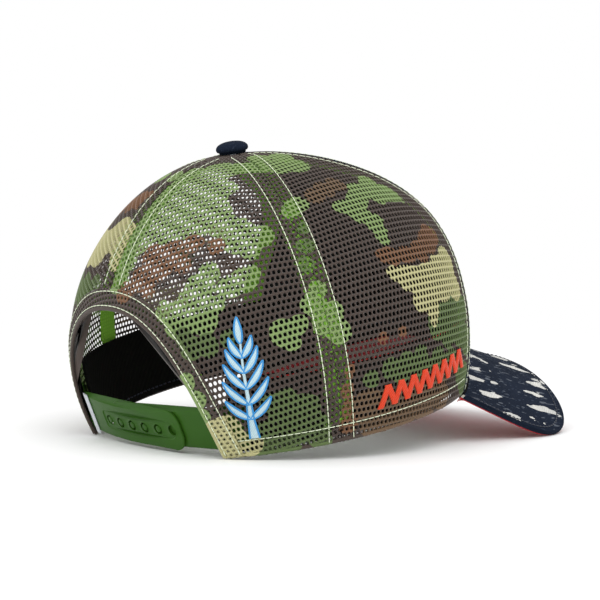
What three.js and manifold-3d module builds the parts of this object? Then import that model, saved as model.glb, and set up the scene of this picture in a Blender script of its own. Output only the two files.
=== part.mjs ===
// A five-panel trucker cap: stiffened front panel, four net panels, curved visor and a snapback closure.
// Millimetres. The crown is drawn in the cap's own frame: its rim lies in z = 0, the visor points to -Y and
// the wearer's right is -X. The whole cap then leans back about X to rest on the visor's two sides and on the
// two rear corners of the rim, so that z = 0 of the exported group is the surface that it rests on.
import * as THREE from "three";
import { mergeVertices } from "three/addons/utils/BufferGeometryUtils.js";
import Module from "manifold-3d";

const wasm = await Module();
wasm.setup();

const GAP = 0.3;
const CAP = {
  halfWidth: 89.8,
  frontLength: 90.7,
  backLength: 92.5,
  height: 124.4,
  topY: 8.4,
  frontFullness: 2.53,
  sideFullness: 2.22,
  backFullness: 2.4,
  bulge: 0.11,
  frontLift: 16.1,
  liftAngle: 63,
  restPitch: 11.15,
};
const SEAM = { back: 113.3, gap: 0.4, tapeHalf: 6, tapeTaper: 0.34 };
const FRONT_SEAM = { foot: 59, bow: 15, bowPower: 2.5 };
const FRONT_SHAPE = { corner: 0.028, cornerSpan: 40, flat: 0.09, flatT: 0.12, drop: 3, dropT: 0.3 };
const NET = { thickness: 0.8, topT: 0.975, rows: 14 };
const DENIM = { thickness: 1.0 };
const BACKING = { out: -1.5, in: -2.3 };
const TAPE = { out: -1.5, in: -2.0 };
const FRONT_TAPE = { out: -3.2, in: -3.6 };
const HEM = { bottom: 0.5, top: 8, startAngle: 62, endAngle: 136.5 };
const BAND = { out: -4.0, in: -5.2, bottom: 0.5, height: 36, endAngle: 142.5 };
const ARCH = { halfWidth: 50.3, height: 67.8, fullness: 2.2, edge: 8.8, tapeFoot: 24 };
const BINDING = { out: 0.9, in: 0.3, foot: 0.6 };
const VISOR = {
  halfWidth: 91,
  cornerWidth: 83.5,
  cornerPower: 16,
  reach: 102.2,
  shoulderY: -42,
  fullness: 2.755,
  slope: 28.9,
  hollow: 0.0011,
  crossCurve: 0.0064,
  rootClear: 0.4,
  rootAngle: 63,
};
const VISOR_LAYERS = { top: [0, -0.6], board: [-0.9, -2.3], under: [-2.6, -3.2] };
const BUTTON = { radius: 7.6, height: 5.4, rivetRadius: 6.4, rivetTop: -4.2, rivetThick: 1.1, stem: 1.4 };
const STRAP = {
  radius: 200,
  halfChord: 48.6,
  rootY: 75.6,
  lean: 13,
  bottom: 3.5,
  height: 20.4,
  thickness: 1.2,
  endRound: 7,
};
const SNAP = { pitch: 9.7, firstHole: 24.9, holes: 6, holeRadius: 2.6, pegs: 7, pegRadius: 1.7, pegHeight: 1.3 };
const STRAP_LENGTH = { outer: 78.8, inner: 70.3 };
const ANCHOR = {
  fromAngle: 138.2,
  left: { clear: 2.2, faces: [-2.5, -1.3] },
  right: { clear: 3.1, faces: [-3.5, -2.3] },
};
const LABEL = { from: 2.2, to: 6.2, thickness: 0.4 };

const COLOUR = {
  net: 0x5b6a45,
  denim: 0x232a3c,
  backing: 0x1b1b1d,
  tape: 0x4fa52c,
  binding: 0x4a4440,
  band: 0x121214,
  red: 0xb02a26,
  board: 0xe8e6e0,
  strap: 0x2f6a22,
  label: 0xd7d9da,
  metal: 0xb9bcc0,
  blue: 0x4aa3d8,
  orange: 0xe8481f,
};

const rad = THREE.MathUtils.degToRad;
const { lerp, clamp, smoothstep } = THREE.MathUtils;

// ---- The crown's surface: angle runs round from the front (0) to the wearer's left (+90), t from rim to top ----

function rimPoint(angle) {
  const length = Math.cos(angle) > 0 ? CAP.frontLength : CAP.backLength;
  const across = Math.min(Math.abs(angle) / rad(CAP.liftAngle), 1);
  const lift = CAP.frontLift * Math.cos((across * Math.PI) / 2) ** 2;
  return new THREE.Vector3(CAP.halfWidth * Math.sin(angle), -length * Math.cos(angle), lift);
}

function fullness(angle) {
  const c = Math.cos(angle);
  return lerp(CAP.sideFullness, c > 0 ? CAP.frontFullness : CAP.backFullness, c * c);
}

// The front panel's seam lines, as an angle either side of the front: the panel narrows halfway up.
function frontSeamAngle(t) {
  return rad(FRONT_SEAM.foot - FRONT_SEAM.bow * Math.sin(Math.PI * t) ** FRONT_SEAM.bowPower);
}

// How far the stiffened front panel lies inside the round crown, and how far its seams stand out of it.
function frontShape(angle, t) {
  const seam = frontSeamAngle(t);
  const ahead = Math.sin((clamp(1 - Math.abs(angle) / seam, 0, 1) * Math.PI) / 2);
  const behind = clamp((Math.abs(angle) - seam) / rad(FRONT_SHAPE.cornerSpan), 0, 1);
  const corner = FRONT_SHAPE.corner * smoothstep(t, 0.2, 0.5) * Math.cos((behind * Math.PI) / 2) ** 2;
  const flat = FRONT_SHAPE.flat * smoothstep(t, 0, FRONT_SHAPE.flatT) * ahead;
  const drop = FRONT_SHAPE.drop * smoothstep(t, 0, FRONT_SHAPE.dropT) * smoothstep(1 - t, 0, 0.12) * ahead;
  return { scale: (1 + corner) * (1 - flat), drop };
}

function crownPoint(angle, t) {
  const n = fullness(angle);
  const rim = rimPoint(wrapped(angle));
  const front = frontShape(wrapped(angle), t);
  const up = Math.sin((t * Math.PI) / 2) ** (2 / n);
  const swell = (1 + 4 * CAP.bulge * up * (1 - up)) * front.scale;
  const spread = Math.cos((t * Math.PI) / 2) ** (2 / n) * swell;
  return new THREE.Vector3(
    rim.x * spread,
    CAP.topY + (rim.y - CAP.topY) * spread,
    lerp(rim.z, CAP.height, up) - front.drop,
  );
}

function wrapped(angle) {
  return Math.atan2(Math.sin(angle), Math.cos(angle));
}

// A point at a distance off the crown's surface, outwards where positive.
function offCrown(angle, t, off) {
  const step = 1e-3;
  const low = Math.max(t - step, 0);
  const across = crownPoint(angle + step, t).sub(crownPoint(angle - step, t));
  const up = crownPoint(angle, t + step).sub(crownPoint(angle, low));
  return crownPoint(angle, t).addScaledVector(across.cross(up).normalize(), off);
}

// t at a height above the rim, and the distance from the crown's middle line.
function heightToT(angle, height) {
  const up = height / (CAP.height - rimPoint(wrapped(angle)).z);
  return (Math.asin(up ** (fullness(angle) / 2)) * 2) / Math.PI;
}

function spreadRadius(angle, t) {
  const p = crownPoint(angle, t);
  return Math.hypot(p.x, p.y - CAP.topY);
}

// The angle of the back's surface point that stands at x and z.
function backAngle(x, z) {
  let angle = Math.PI;
  for (let i = 0; i < 12; i++) {
    const spread = crownPoint(angle, heightToT(angle, z)).x / (CAP.halfWidth * Math.sin(angle) || 1);
    const reach = CAP.halfWidth * (i ? spread : 1);
    angle = Math.PI - Math.asin(clamp(x / reach, -1, 1));
  }
  return angle;
}

// ---- Closed shapes ----

// A box of nu by nv by nw cells whose unit coordinates (u, v, w) are carried to points by place.
function bentBox(nu, nv, place, nw = 1) {
  const box = new THREE.BoxGeometry(1, 1, 1, nu, nv, nw);
  const spot = box.attributes.position;
  for (let i = 0; i < spot.count; i++) {
    const u = Math.round((spot.getX(i) + 0.5) * nu) / nu;
    const v = Math.round((spot.getY(i) + 0.5) * nv) / nv;
    const w = Math.round((spot.getZ(i) + 0.5) * nw) / nw;
    const p = place(u, v, w);
    spot.setXYZ(i, p.x, p.y, p.z);
  }
  return merged(box);
}

function merged(geometry) {
  geometry.deleteAttribute("normal");
  geometry.deleteAttribute("uv");
  return mergeVertices(geometry, 1e-4);
}

function solid(geometry) {
  return new wasm.Manifold(
    new wasm.Mesh({
      numProp: 3,
      vertProperties: geometry.attributes.position.array,
      triVerts: new Uint32Array(geometry.index.array),
    }),
  );
}

function fromSolid(made) {
  const mesh = made.getMesh();
  const geometry = new THREE.BufferGeometry();
  geometry.setAttribute("position", new THREE.BufferAttribute(mesh.vertProperties, 3));
  geometry.setIndex(new THREE.BufferAttribute(mesh.triVerts, 1));
  return geometry;
}

const cap = new THREE.Group();

function addMesh(name, geometry, colour, roughness = 0.9, metalness = 0) {
  const material = new THREE.MeshStandardMaterial({ color: colour, roughness, metalness });
  const shaded = geometry.toNonIndexed();
  shaded.computeVertexNormals();
  const mesh = new THREE.Mesh(shaded, material);
  mesh.name = name;
  cap.add(mesh);
  return mesh;
}

// ---- Seam lines: each gives the seam's angle at a height t, on the right (-1) or the left (1) ----

const frontSeam = (sign) => (t) => sign * frontSeamAngle(t);
const backSeam = (sign) => () => sign * rad(SEAM.back);
const centreSeam = (sign) => () => sign * Math.PI;

// ---- Crown panels, sewn edge to edge with a constant seam gap ----

function panel(from, to, nu, out, inner) {
  return bentBox(nu, NET.rows, (u, v, w) => {
    const t = v * NET.topT;
    const half = SEAM.gap / 2;
    const start = from(t) + half / spreadRadius(from(t), t);
    const end = to(t) - half / spreadRadius(to(t), t);
    return offCrown(lerp(start, end, u), t, lerp(inner, out, w));
  });
}

// The outline of the rear opening on the crown, from the right foot (0) over the top to the left foot (1),
// moved outwards by a distance along the cloth.
function archSpot(along, outwards) {
  const turn = Math.PI * (1 - along);
  const power = 2 / ARCH.fullness;
  const c = Math.cos(turn);
  const s = Math.sin(turn);
  const x = ARCH.halfWidth * Math.sign(c) * Math.abs(c) ** power;
  const z = ARCH.height * Math.abs(s) ** power;
  const nx = Math.sign(c) * Math.abs(c) ** (2 - power) * ARCH.height;
  const nz = Math.abs(s) ** (2 - power) * ARCH.halfWidth;
  const size = Math.hypot(nx, nz);
  const slant = Math.cos(Math.asin((0.9 * x) / CAP.halfWidth));
  return { x: x + (nx / size) * outwards * slant, z: z + (nz / size) * outwards };
}

// A strip that follows the rear opening, down to a foot height above the rim.
function archStrip(nu, from, to, inner, out, foot) {
  const power = 2 / ARCH.fullness;
  const rise = Math.asin((foot / ARCH.height) ** (1 / power)) / Math.PI;
  return bentBox(nu, 2, (u, v, w) => {
    const spot = archSpot(lerp(1 - rise, rise, u), lerp(from, to, v));
    const angle = backAngle(spot.x, spot.z);
    return offCrown(angle, heightToT(angle, spot.z), lerp(inner, out, w));
  });
}

// The prism that cuts the rear opening out of the net panels.
function archCutter() {
  const outline = new THREE.Shape();
  outline.moveTo(-ARCH.halfWidth, -5);
  const steps = 36;
  for (let i = 0; i <= steps; i++) {
    const spot = archSpot(i / steps, 0);
    outline.lineTo(spot.x, Math.max(spot.z, 0));
  }
  outline.lineTo(ARCH.halfWidth, -5);
  const depth = 110;
  const prism = new THREE.ExtrudeGeometry(outline, { depth, bevelEnabled: false });
  prism.rotateX(Math.PI / 2);
  prism.translate(0, 30 + depth, 0);
  return solid(merged(prism));
}

const net = [0, -NET.thickness];
const denim = [0, -DENIM.thickness];
addMesh("front_panel", panel(frontSeam(-1), frontSeam(1), 21, ...denim), COLOUR.denim);
const frontBacking = panel(frontSeam(-1), frontSeam(1), 21, BACKING.out, BACKING.in);
addMesh("front_panel_backing", frontBacking, COLOUR.backing);

const cutter = archCutter();
for (const [side, sign] of [["right", -1], ["left", 1]]) {
  const sideSpan = sign > 0 ? [frontSeam(1), backSeam(1)] : [backSeam(-1), frontSeam(-1)];
  const backSpan = sign > 0 ? [backSeam(1), centreSeam(1)] : [centreSeam(-1), backSeam(-1)];
  addMesh("side_net_panel_" + side, panel(...sideSpan, 9, ...net), COLOUR.net);
  const back = solid(panel(...backSpan, 10, ...net)).subtract(cutter);
  addMesh("back_net_panel_" + side, fromSolid(back), COLOUR.net);
}

// ---- Seam tapes inside the crown, bent at the same heights as the panels ----

function seamTape(line, fromHeight, layer) {
  const foot = heightToT(line(0), fromHeight);
  const rows = [foot];
  for (let i = 1; i <= NET.rows; i++) {
    const t = (i / NET.rows) * NET.topT;
    if (t > foot + 0.01) rows.push(t);
  }
  return bentBox(2, rows.length - 1, (u, v, w) => {
    const t = rows[Math.round(v * (rows.length - 1))];
    const radius = spreadRadius(line(t), t);
    const half = Math.min(SEAM.tapeHalf, SEAM.tapeTaper * radius);
    return offCrown(line(t) + ((2 * u - 1) * half) / radius, t, lerp(layer.in, layer.out, w));
  });
}

const aboveHem = HEM.top + 0.6;
const aboveArch = ARCH.height + ARCH.edge + 0.8;
addMesh("seam_tape_centre_back", seamTape(centreSeam(1), aboveArch, TAPE), COLOUR.tape);
for (const [side, sign] of [["right", -1], ["left", 1]]) {
  addMesh("seam_tape_side_" + side, seamTape(backSeam(sign), aboveHem, TAPE), COLOUR.tape);
  addMesh("seam_tape_front_" + side, seamTape(frontSeam(sign), aboveHem, FRONT_TAPE), COLOUR.tape);
}

// ---- Rear opening's edge: folded net outside, tape inside ----

addMesh(
  "arch_binding",
  archStrip(40, -0.6, ARCH.edge, BINDING.in, BINDING.out, BINDING.foot),
  COLOUR.binding,
);
addMesh("arch_tape", archStrip(32, 0.2, ARCH.edge - 1, TAPE.in, TAPE.out, ARCH.tapeFoot), COLOUR.tape);

// ---- Rim: folded hem of the net and the sweatband ----

function rimStrip(fromDeg, toDeg, nu, bottom, top, inner, out) {
  return bentBox(nu, 2, (u, v, w) => {
    const angle = rad(lerp(fromDeg, toDeg, u));
    return offCrown(angle, heightToT(angle, lerp(bottom, top, v)), lerp(inner, out, w));
  });
}

const hem = [HEM.bottom, HEM.top, TAPE.in, TAPE.out];
addMesh("hem_fold_right", rimStrip(-HEM.endAngle, -HEM.startAngle, 12, ...hem), COLOUR.binding);
addMesh("hem_fold_left", rimStrip(HEM.startAngle, HEM.endAngle, 12, ...hem), COLOUR.binding);
addMesh(
  "sweatband",
  rimStrip(-BAND.endAngle, BAND.endAngle, 31, BAND.bottom, BAND.height, BAND.in, BAND.out),
  COLOUR.band,
);

// ---- Visor: board between two fabrics, all three following one curved sheet ----

function visorHeight(x, y) {
  const ahead = -y - CAP.frontLength;
  const fall = Math.tan(rad(VISOR.slope)) * ahead;
  return CAP.frontLift - fall - VISOR.crossCurve * x * x + VISOR.hollow * ahead * ahead;
}

function visorSpot(u, v) {
  const side = 2 * u - 1;
  const angle = side * rad(VISOR.rootAngle);
  const rim = rimPoint(angle);
  const root = { x: rim.x * 1.008, y: rim.y * 1.008 };
  const turn = (side * Math.PI) / 2;
  const power = 2 / VISOR.fullness;
  const sideways = Math.abs(Math.sin(turn));
  const tuck = (1 - VISOR.cornerWidth / VISOR.halfWidth) * sideways ** VISOR.cornerPower;
  const edge = {
    x: VISOR.halfWidth * Math.sign(side) * sideways ** power * (1 - tuck),
    y: VISOR.shoulderY - VISOR.reach * Math.abs(Math.cos(turn)) ** power,
  };
  const x = lerp(root.x, edge.x, v);
  const y = lerp(root.y, edge.y, v);
  const settle = rim.z - VISOR.rootClear - visorHeight(root.x, root.y);
  return new THREE.Vector3(x, y, visorHeight(x, y) + settle * (1 - v) ** 2);
}

// The columns are closest together at the two corners, where the outline turns fastest.
function visorLayer([top, bottom]) {
  return bentBox(26, 6, (u, v, w) => {
    const spot = visorSpot((1 - Math.cos(Math.PI * u)) / 2, v);
    const ahead = -spot.y - CAP.frontLength;
    const slope = 2 * VISOR.hollow * ahead - Math.tan(rad(VISOR.slope));
    const up = new THREE.Vector3(2 * VISOR.crossCurve * spot.x, slope, 1).normalize();
    return spot.addScaledVector(up, lerp(top, bottom, w));
  });
}

addMesh("visor_top_fabric", visorLayer(VISOR_LAYERS.top), COLOUR.denim);
addMesh("visor_board", visorLayer(VISOR_LAYERS.board), COLOUR.board, 0.6);
addMesh("visor_under_fabric", visorLayer(VISOR_LAYERS.under), COLOUR.red);

// ---- Button on top and the rivet that holds it from inside ----

function turned(profile, segments) {
  const points = profile.map(([r, z]) => new THREE.Vector2(r, z));
  const lathe = new THREE.LatheGeometry(points, segments);
  lathe.rotateX(Math.PI / 2);
  return merged(lathe);
}

const dome = [[0, GAP], [BUTTON.radius - 0.5, GAP], [BUTTON.radius, 1]];
const domeSteps = 7;
for (let i = 1; i < domeSteps; i++) {
  const turn = (i / domeSteps) * (Math.PI / 2);
  dome.push([BUTTON.radius * Math.cos(turn), lerp(1, BUTTON.height, Math.sin(turn) ** 0.8)]);
}
dome.push([0, BUTTON.height]);
const rivetFoot = BUTTON.rivetTop - BUTTON.rivetThick;
const rivet = [
  [0, rivetFoot],
  [BUTTON.rivetRadius, rivetFoot],
  [BUTTON.rivetRadius, BUTTON.rivetTop],
  [BUTTON.stem, BUTTON.rivetTop],
  [BUTTON.stem, 0],
  [0, 0],
];
const button = addMesh("top_button", turned(dome, 24), COLOUR.denim);
const buttonRivet = addMesh("top_button_rivet", turned(rivet, 20), COLOUR.metal, 0.35, 1);
for (const piece of [button, buttonRivet]) piece.position.set(0, CAP.topY, CAP.height);

// ---- Snapback closure: two flat straps on one arc, leaning out with the crown ----

// A point of the closure: reach along the arc from the left root, height up the strap, off outwards.
const strapHalfTurn = Math.asin(STRAP.halfChord / STRAP.radius);
const arcLength = 2 * strapHalfTurn * STRAP.radius;

function strapPoint(reach, height, off) {
  const turn = strapHalfTurn - reach / STRAP.radius;
  const radius = STRAP.radius + off;
  const y = radius * Math.cos(turn) - STRAP.radius * Math.cos(strapHalfTurn);
  return new THREE.Vector3(radius * Math.sin(turn), y, height);
}

// A strap with a rounded free end, from a root at reach 0.
function strapBlade(length, inner, out, spot) {
  return bentBox(12, 8, (u, v, w) => {
    const height = v * STRAP.height;
    const fromEdge = Math.min(height, STRAP.height - height);
    const missing = Math.max(STRAP.endRound - fromEdge, 0) / STRAP.endRound;
    const end = length - STRAP.endRound * (1 - Math.sqrt(1 - missing ** 2 * 0.999));
    return spot(u * end, height, lerp(inner, out, w));
  });
}

function snapCylinder(reach, radius, inner, out) {
  const turn = strapHalfTurn - reach / STRAP.radius;
  const cylinder = new THREE.CylinderGeometry(radius, radius, out - inner, 14);
  cylinder.rotateZ(-turn);
  const middle = strapPoint(reach, STRAP.height / 2, (inner + out) / 2);
  cylinder.translate(middle.x, middle.y, middle.z);
  return solid(merged(cylinder));
}

const outerFaces = [GAP, GAP + STRAP.thickness];
const innerFaces = [-STRAP.thickness, 0];
let outerStrap = solid(strapBlade(STRAP_LENGTH.outer, ...outerFaces, (r, h, o) => strapPoint(r, h, o)));
for (let i = 0; i < SNAP.holes; i++) {
  const reach = SNAP.firstHole + i * SNAP.pitch;
  outerStrap = outerStrap.subtract(snapCylinder(reach, SNAP.holeRadius, -1, 3));
}
// The inner strap starts at the right root, so its blade is mirrored along the arc and turned right side out.
let innerStrap = solid(
  strapBlade(STRAP_LENGTH.inner, ...innerFaces, (r, h, o) => {
    return strapPoint(arcLength - r, STRAP.height - h, o);
  }),
);
for (let i = 1; i <= SNAP.pegs; i++) {
  const reach = SNAP.firstHole + i * SNAP.pitch;
  innerStrap = innerStrap.add(snapCylinder(reach, SNAP.pegRadius, -0.4, SNAP.pegHeight));
}
const label = bentBox(1, 2, (u, v, w) => {
  const off = outerFaces[1] + GAP + w * LABEL.thickness;
  return strapPoint(lerp(LABEL.from, LABEL.to, u), lerp(0.4, STRAP.height - 0.4, v), off);
});
const closure = [
  addMesh("strap_outer", fromSolid(outerStrap), COLOUR.strap, 0.35),
  addMesh("strap_inner", fromSolid(innerStrap), COLOUR.strap, 0.35),
  addMesh("strap_label", label, COLOUR.label, 0.8),
];
for (const piece of closure) {
  piece.rotation.x = -rad(STRAP.lean);
  piece.position.set(0, STRAP.rootY, STRAP.bottom);
}

// The strap's sewn ends, between the net and the sweatband.
function anchor(sign, { clear, faces }) {
  const heights = [STRAP.bottom, STRAP.bottom + STRAP.height];
  const edge = (z) => Math.abs(wrapped(backAngle(sign * (STRAP.halfChord + clear), z)));
  return bentBox(2, 3, (u, v, w) => {
    const z = lerp(...heights, v);
    const side = sign > 0 ? u : 1 - u;
    const angle = sign * lerp(rad(ANCHOR.fromAngle), edge(z), side);
    return offCrown(angle, heightToT(angle, z), lerp(...faces, w));
  });
}

addMesh("strap_anchor_left", anchor(1, ANCHOR.left), COLOUR.strap, 0.35);
addMesh("strap_anchor_right", anchor(-1, ANCHOR.right), COLOUR.strap, 0.35);

// ---- Embroidery on the net: a leaf sprig on the right back panel, a zigzag on the right side panel ----

function onNet(deg, height, across, up, off) {
  const z = height + up;
  const t = heightToT(rad(deg), z);
  const angle = rad(deg) + across / spreadRadius(rad(deg), t);
  return offCrown(angle, heightToT(angle, z), off);
}

const SPRIG = { angle: -134.5, height: 9, length: 52, halfWidth: 9.5 };
const sprig = bentBox(6, 12, (u, v, w) => {
  const half = SPRIG.halfWidth * Math.sin(Math.PI * lerp(0.06, 0.95, v)) ** 0.8;
  return onNet(SPRIG.angle, SPRIG.height, (2 * u - 1) * half, v * SPRIG.length, lerp(0.3, 0.8, w));
});
addMesh("sprig_embroidery", sprig, COLOUR.blue, 0.6);

const ZIGZAG = { angle: -84, height: 15, length: 58, rise: 6, swing: 3.4, thick: 5, turns: 16 };
const zigzag = bentBox(ZIGZAG.turns, 1, (u, v, w) => {
  const swing = Math.round(u * ZIGZAG.turns) % 2 ? ZIGZAG.swing : -ZIGZAG.swing;
  const up = u * ZIGZAG.rise + swing + (v - 0.5) * ZIGZAG.thick;
  return onNet(ZIGZAG.angle, ZIGZAG.height, (u - 0.5) * ZIGZAG.length, up, lerp(0.3, 0.8, w));
});
addMesh("zigzag_embroidery", zigzag, COLOUR.orange, 0.6);

// ---- The cap leans back to rest, with its lowest points in z = 0 and its box centred on the origin ----

cap.rotation.x = -rad(CAP.restPitch);
const placed = new THREE.Group();
placed.add(cap);
placed.updateMatrixWorld(true);
const box = new THREE.Box3().setFromObject(cap, true);
cap.position.set(-(box.min.x + box.max.x) / 2, -(box.min.y + box.max.y) / 2, -box.min.z);
placed.updateMatrixWorld(true);

export default placed;
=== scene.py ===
"""A five-panel trucker cap: stiff front panel, knitted-net sides and back, curved visor, snapback closure.

Shapes are worked out in millimetres in the cap's own frame (rim in z = 0, visor towards -Y, wearer's right at
-X) and placed in the row frame in metres by to_row(). The crown is one surface, crown(angle, t, off): the angle
runs from the front (0) towards the wearer's left (+), t runs from the rim (0) to the button (1), and off is the
distance off the cloth, outwards where positive.
"""

import math

import bmesh
import bpy
import numpy as np
from mathutils import Matrix, Vector
from mathutils.geometry import delaunay_2d_cdt


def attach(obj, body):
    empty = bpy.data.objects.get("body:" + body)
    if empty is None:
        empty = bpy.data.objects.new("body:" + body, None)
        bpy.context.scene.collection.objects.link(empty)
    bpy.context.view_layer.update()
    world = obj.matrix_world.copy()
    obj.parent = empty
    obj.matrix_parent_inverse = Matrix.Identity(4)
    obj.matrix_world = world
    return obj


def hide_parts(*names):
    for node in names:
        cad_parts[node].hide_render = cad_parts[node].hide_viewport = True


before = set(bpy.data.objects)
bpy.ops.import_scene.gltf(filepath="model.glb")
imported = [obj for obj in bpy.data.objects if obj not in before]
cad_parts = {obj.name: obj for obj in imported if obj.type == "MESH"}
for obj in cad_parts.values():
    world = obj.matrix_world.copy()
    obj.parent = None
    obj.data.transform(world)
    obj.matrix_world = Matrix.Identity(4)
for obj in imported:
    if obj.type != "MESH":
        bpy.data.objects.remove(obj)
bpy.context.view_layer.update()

SHELL, OUTER, INNER = "cap_shell", "outer_strap", "inner_strap"

# ---- Driving dimensions, in millimetres and degrees, as in the CAD model ----

HALF_WIDTH, FRONT_LENGTH, BACK_LENGTH, HEIGHT, TOP_Y = 89.8, 90.7, 92.5, 124.4, 8.4
FRONT_FULL, SIDE_FULL, BACK_FULL, BULGE = 2.53, 2.22, 2.4, 0.11
FRONT_LIFT, LIFT_ANGLE, REST_PITCH = 16.1, math.radians(63), math.radians(11.15)
CAP_ORIGIN = np.array([0.00018586, 0.01958704, 0.01480368])
TOP_T = 0.975
BACK_SEAM = math.radians(113.3)
FRONT_SEAM_FOOT, FRONT_SEAM_BOW, FRONT_SEAM_POWER = 59.0, 15.0, 2.5
CORNER, CORNER_SPAN, FLAT, FLAT_T, DROP, DROP_T = 0.028, math.radians(40), 0.09, 0.12, 3.0, 0.3
ARCH_HALF, ARCH_HEIGHT, ARCH_FULL, ARCH_EDGE = 50.3, 67.8, 2.2, 8.8
VISOR_HALF, VISOR_REACH, VISOR_SHOULDER, VISOR_FULL, VISOR_TUCK = 91.0, 102.2, -42.0, 2.755, 1 - 83.5 / 91.0
VISOR_SLOPE, VISOR_HOLLOW, VISOR_CROSS = math.tan(math.radians(28.9)), 0.0011, 0.0064
VISOR_TUCK_POWER, VISOR_ROOT_SPREAD, VISOR_ROOT_CLEAR = 16, 1.008, 0.4
STRAP_RADIUS, STRAP_HALF_CHORD, STRAP_HEIGHT = 200.0, 48.6, 20.4
OUTER_LENGTH, INNER_LENGTH = 78.8, 70.3
STRAP_ROOT, STRAP_LEAN = np.array([0.0, 75.6, 3.5]), math.radians(13)
HOLE_PITCH, FIRST_HOLE, HOLES, HOLE_RADIUS, PEGS, PEG_RADIUS = 9.7, 24.9, 6, 2.6, 7, 1.7
NET_PITCH, NET_HOLE = (2.2, 2.8), (0.72, 0.90)
SIDE_GRAIN, BACK_GRAIN = math.radians(1.5), math.radians(12)


def to_row(points):
    """Cap frame in millimetres to the row frame in metres."""
    p = np.asarray(points, float)
    c, s = math.cos(REST_PITCH), math.sin(REST_PITCH)
    y = p[..., 1] * c + p[..., 2] * s
    z = -p[..., 1] * s + p[..., 2] * c
    return np.stack([p[..., 0], y, z], -1) * 0.001 + CAP_ORIGIN


def unit(v):
    return v / np.maximum(np.linalg.norm(v, axis=-1, keepdims=True), 1e-12)


# ---- The crown's surface ----

def rim_lift(angle):
    turned = np.abs(np.arctan2(np.sin(angle), np.cos(angle)))
    return FRONT_LIFT * np.cos(np.minimum(turned / LIFT_ANGLE, 1) * math.pi / 2) ** 2


def fullness(angle):
    c = np.cos(angle)
    return SIDE_FULL + (np.where(c > 0, FRONT_FULL, BACK_FULL) - SIDE_FULL) * c * c


def front_seam_angle(t):
    """The front panel's seams, as an angle either side of the front: the panel narrows halfway up."""
    return np.radians(FRONT_SEAM_FOOT - FRONT_SEAM_BOW * np.sin(math.pi * np.clip(t, 0, 1)) ** FRONT_SEAM_POWER)


def ease(x, low, high):
    share = np.clip((x - low) / (high - low), 0, 1)
    return share * share * (3 - 2 * share)


def front_shape(angle, t):
    """How far the stiff front panel lies inside the round crown, and how far its seams stand out of it."""
    seam = front_seam_angle(t)
    turned = np.abs(np.arctan2(np.sin(angle), np.cos(angle)))
    ahead = np.sin(np.clip(1 - turned / seam, 0, 1) * math.pi / 2)
    behind = np.clip((turned - seam) / CORNER_SPAN, 0, 1)
    corner = CORNER * ease(t, 0.2, 0.5) * np.cos(behind * math.pi / 2) ** 2
    scale = (1 + corner) * (1 - FLAT * ease(t, 0, FLAT_T) * ahead)
    return scale, DROP * ease(t, 0, DROP_T) * ease(1 - t, 0, 0.12) * ahead


def crown_skin(angle, t):
    angle, t = np.broadcast_arrays(np.asarray(angle, float), np.asarray(t, float))
    power = 2 / fullness(angle)
    scale, drop = front_shape(angle, t)
    up = np.sin(t * math.pi / 2) ** power
    spread = np.cos(t * math.pi / 2) ** power * (1 + 4 * BULGE * up * (1 - up)) * scale
    length = np.where(np.cos(angle) > 0, FRONT_LENGTH, BACK_LENGTH)
    lift = rim_lift(angle)
    x = HALF_WIDTH * np.sin(angle) * spread
    y = TOP_Y + (-length * np.cos(angle) - TOP_Y) * spread
    return np.stack([x, y, lift + (HEIGHT - lift) * up - drop], -1)


def crown(angle, t, off=0.0):
    angle, t, off = np.broadcast_arrays(*(np.asarray(a, float) for a in (angle, t, off)))
    step = 1e-3
    t = np.clip(t, 0, 0.999)
    low = np.maximum(t - step, 0)
    across = crown_skin(angle + step, t) - crown_skin(angle - step, t)
    up = crown_skin(angle, t + step) - crown_skin(angle, low)
    return crown_skin(angle, t) + unit(np.cross(across, up)) * off[..., None]


def height_to_t(angle, height):
    up = np.clip(height / (HEIGHT - rim_lift(angle)), 0, 1)
    return np.arcsin(up ** (fullness(angle) / 2)) * 2 / math.pi


def radius_at(angle, t):
    p = crown_skin(angle, t)
    return np.hypot(p[..., 0], p[..., 1] - TOP_Y)


def back_angle(x, z):
    """The angle of the back's surface point that stands at x and z."""
    x, z = np.broadcast_arrays(np.asarray(x, float), np.asarray(z, float))
    angle = math.pi - np.arcsin(np.clip(x / HALF_WIDTH, -1, 1))
    for _ in range(12):
        here = crown_skin(angle, height_to_t(angle, z))[..., 0]
        side = np.sin(angle)
        safe = np.where(np.abs(side) < 1e-6, 1.0, side)
        reach = np.where(np.abs(side) < 1e-6, HALF_WIDTH, here / safe)
        angle = math.pi - np.arcsin(np.clip(x / reach, -1, 1))
    return angle


def front_seam(sign):
    return lambda t: sign * front_seam_angle(np.asarray(t, float))


def back_seam(sign):
    return lambda t: sign * BACK_SEAM + 0 * np.asarray(t, float)


def centre_seam(t):
    return math.pi + 0 * np.asarray(t, float)


def arch_spot(along, outwards):
    """x and z of the rear opening's outline, right foot (0) to left foot (1), moved outwards along the cloth."""
    turn = math.pi * (1 - np.asarray(along, float))
    power = 2 / ARCH_FULL
    c, s = np.cos(turn), np.sin(turn)
    x = ARCH_HALF * np.sign(c) * np.abs(c) ** power
    z = ARCH_HEIGHT * np.abs(s) ** power
    nx = np.sign(c) * np.abs(c) ** (2 - power) * ARCH_HEIGHT
    nz = np.abs(s) ** (2 - power) * ARCH_HALF
    size = np.hypot(nx, nz)
    slant = np.cos(np.arcsin(0.9 * x / HALF_WIDTH))
    return x + nx / size * outwards * slant, z + nz / size * outwards


def arch(along, outwards, off):
    x, z = arch_spot(along, outwards)
    angle = back_angle(x, z)
    return crown(angle, height_to_t(angle, z), off)


def visor_height(x, y):
    ahead = -y - FRONT_LENGTH
    return FRONT_LIFT - VISOR_SLOPE * ahead - VISOR_CROSS * x * x + VISOR_HOLLOW * ahead * ahead


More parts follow.
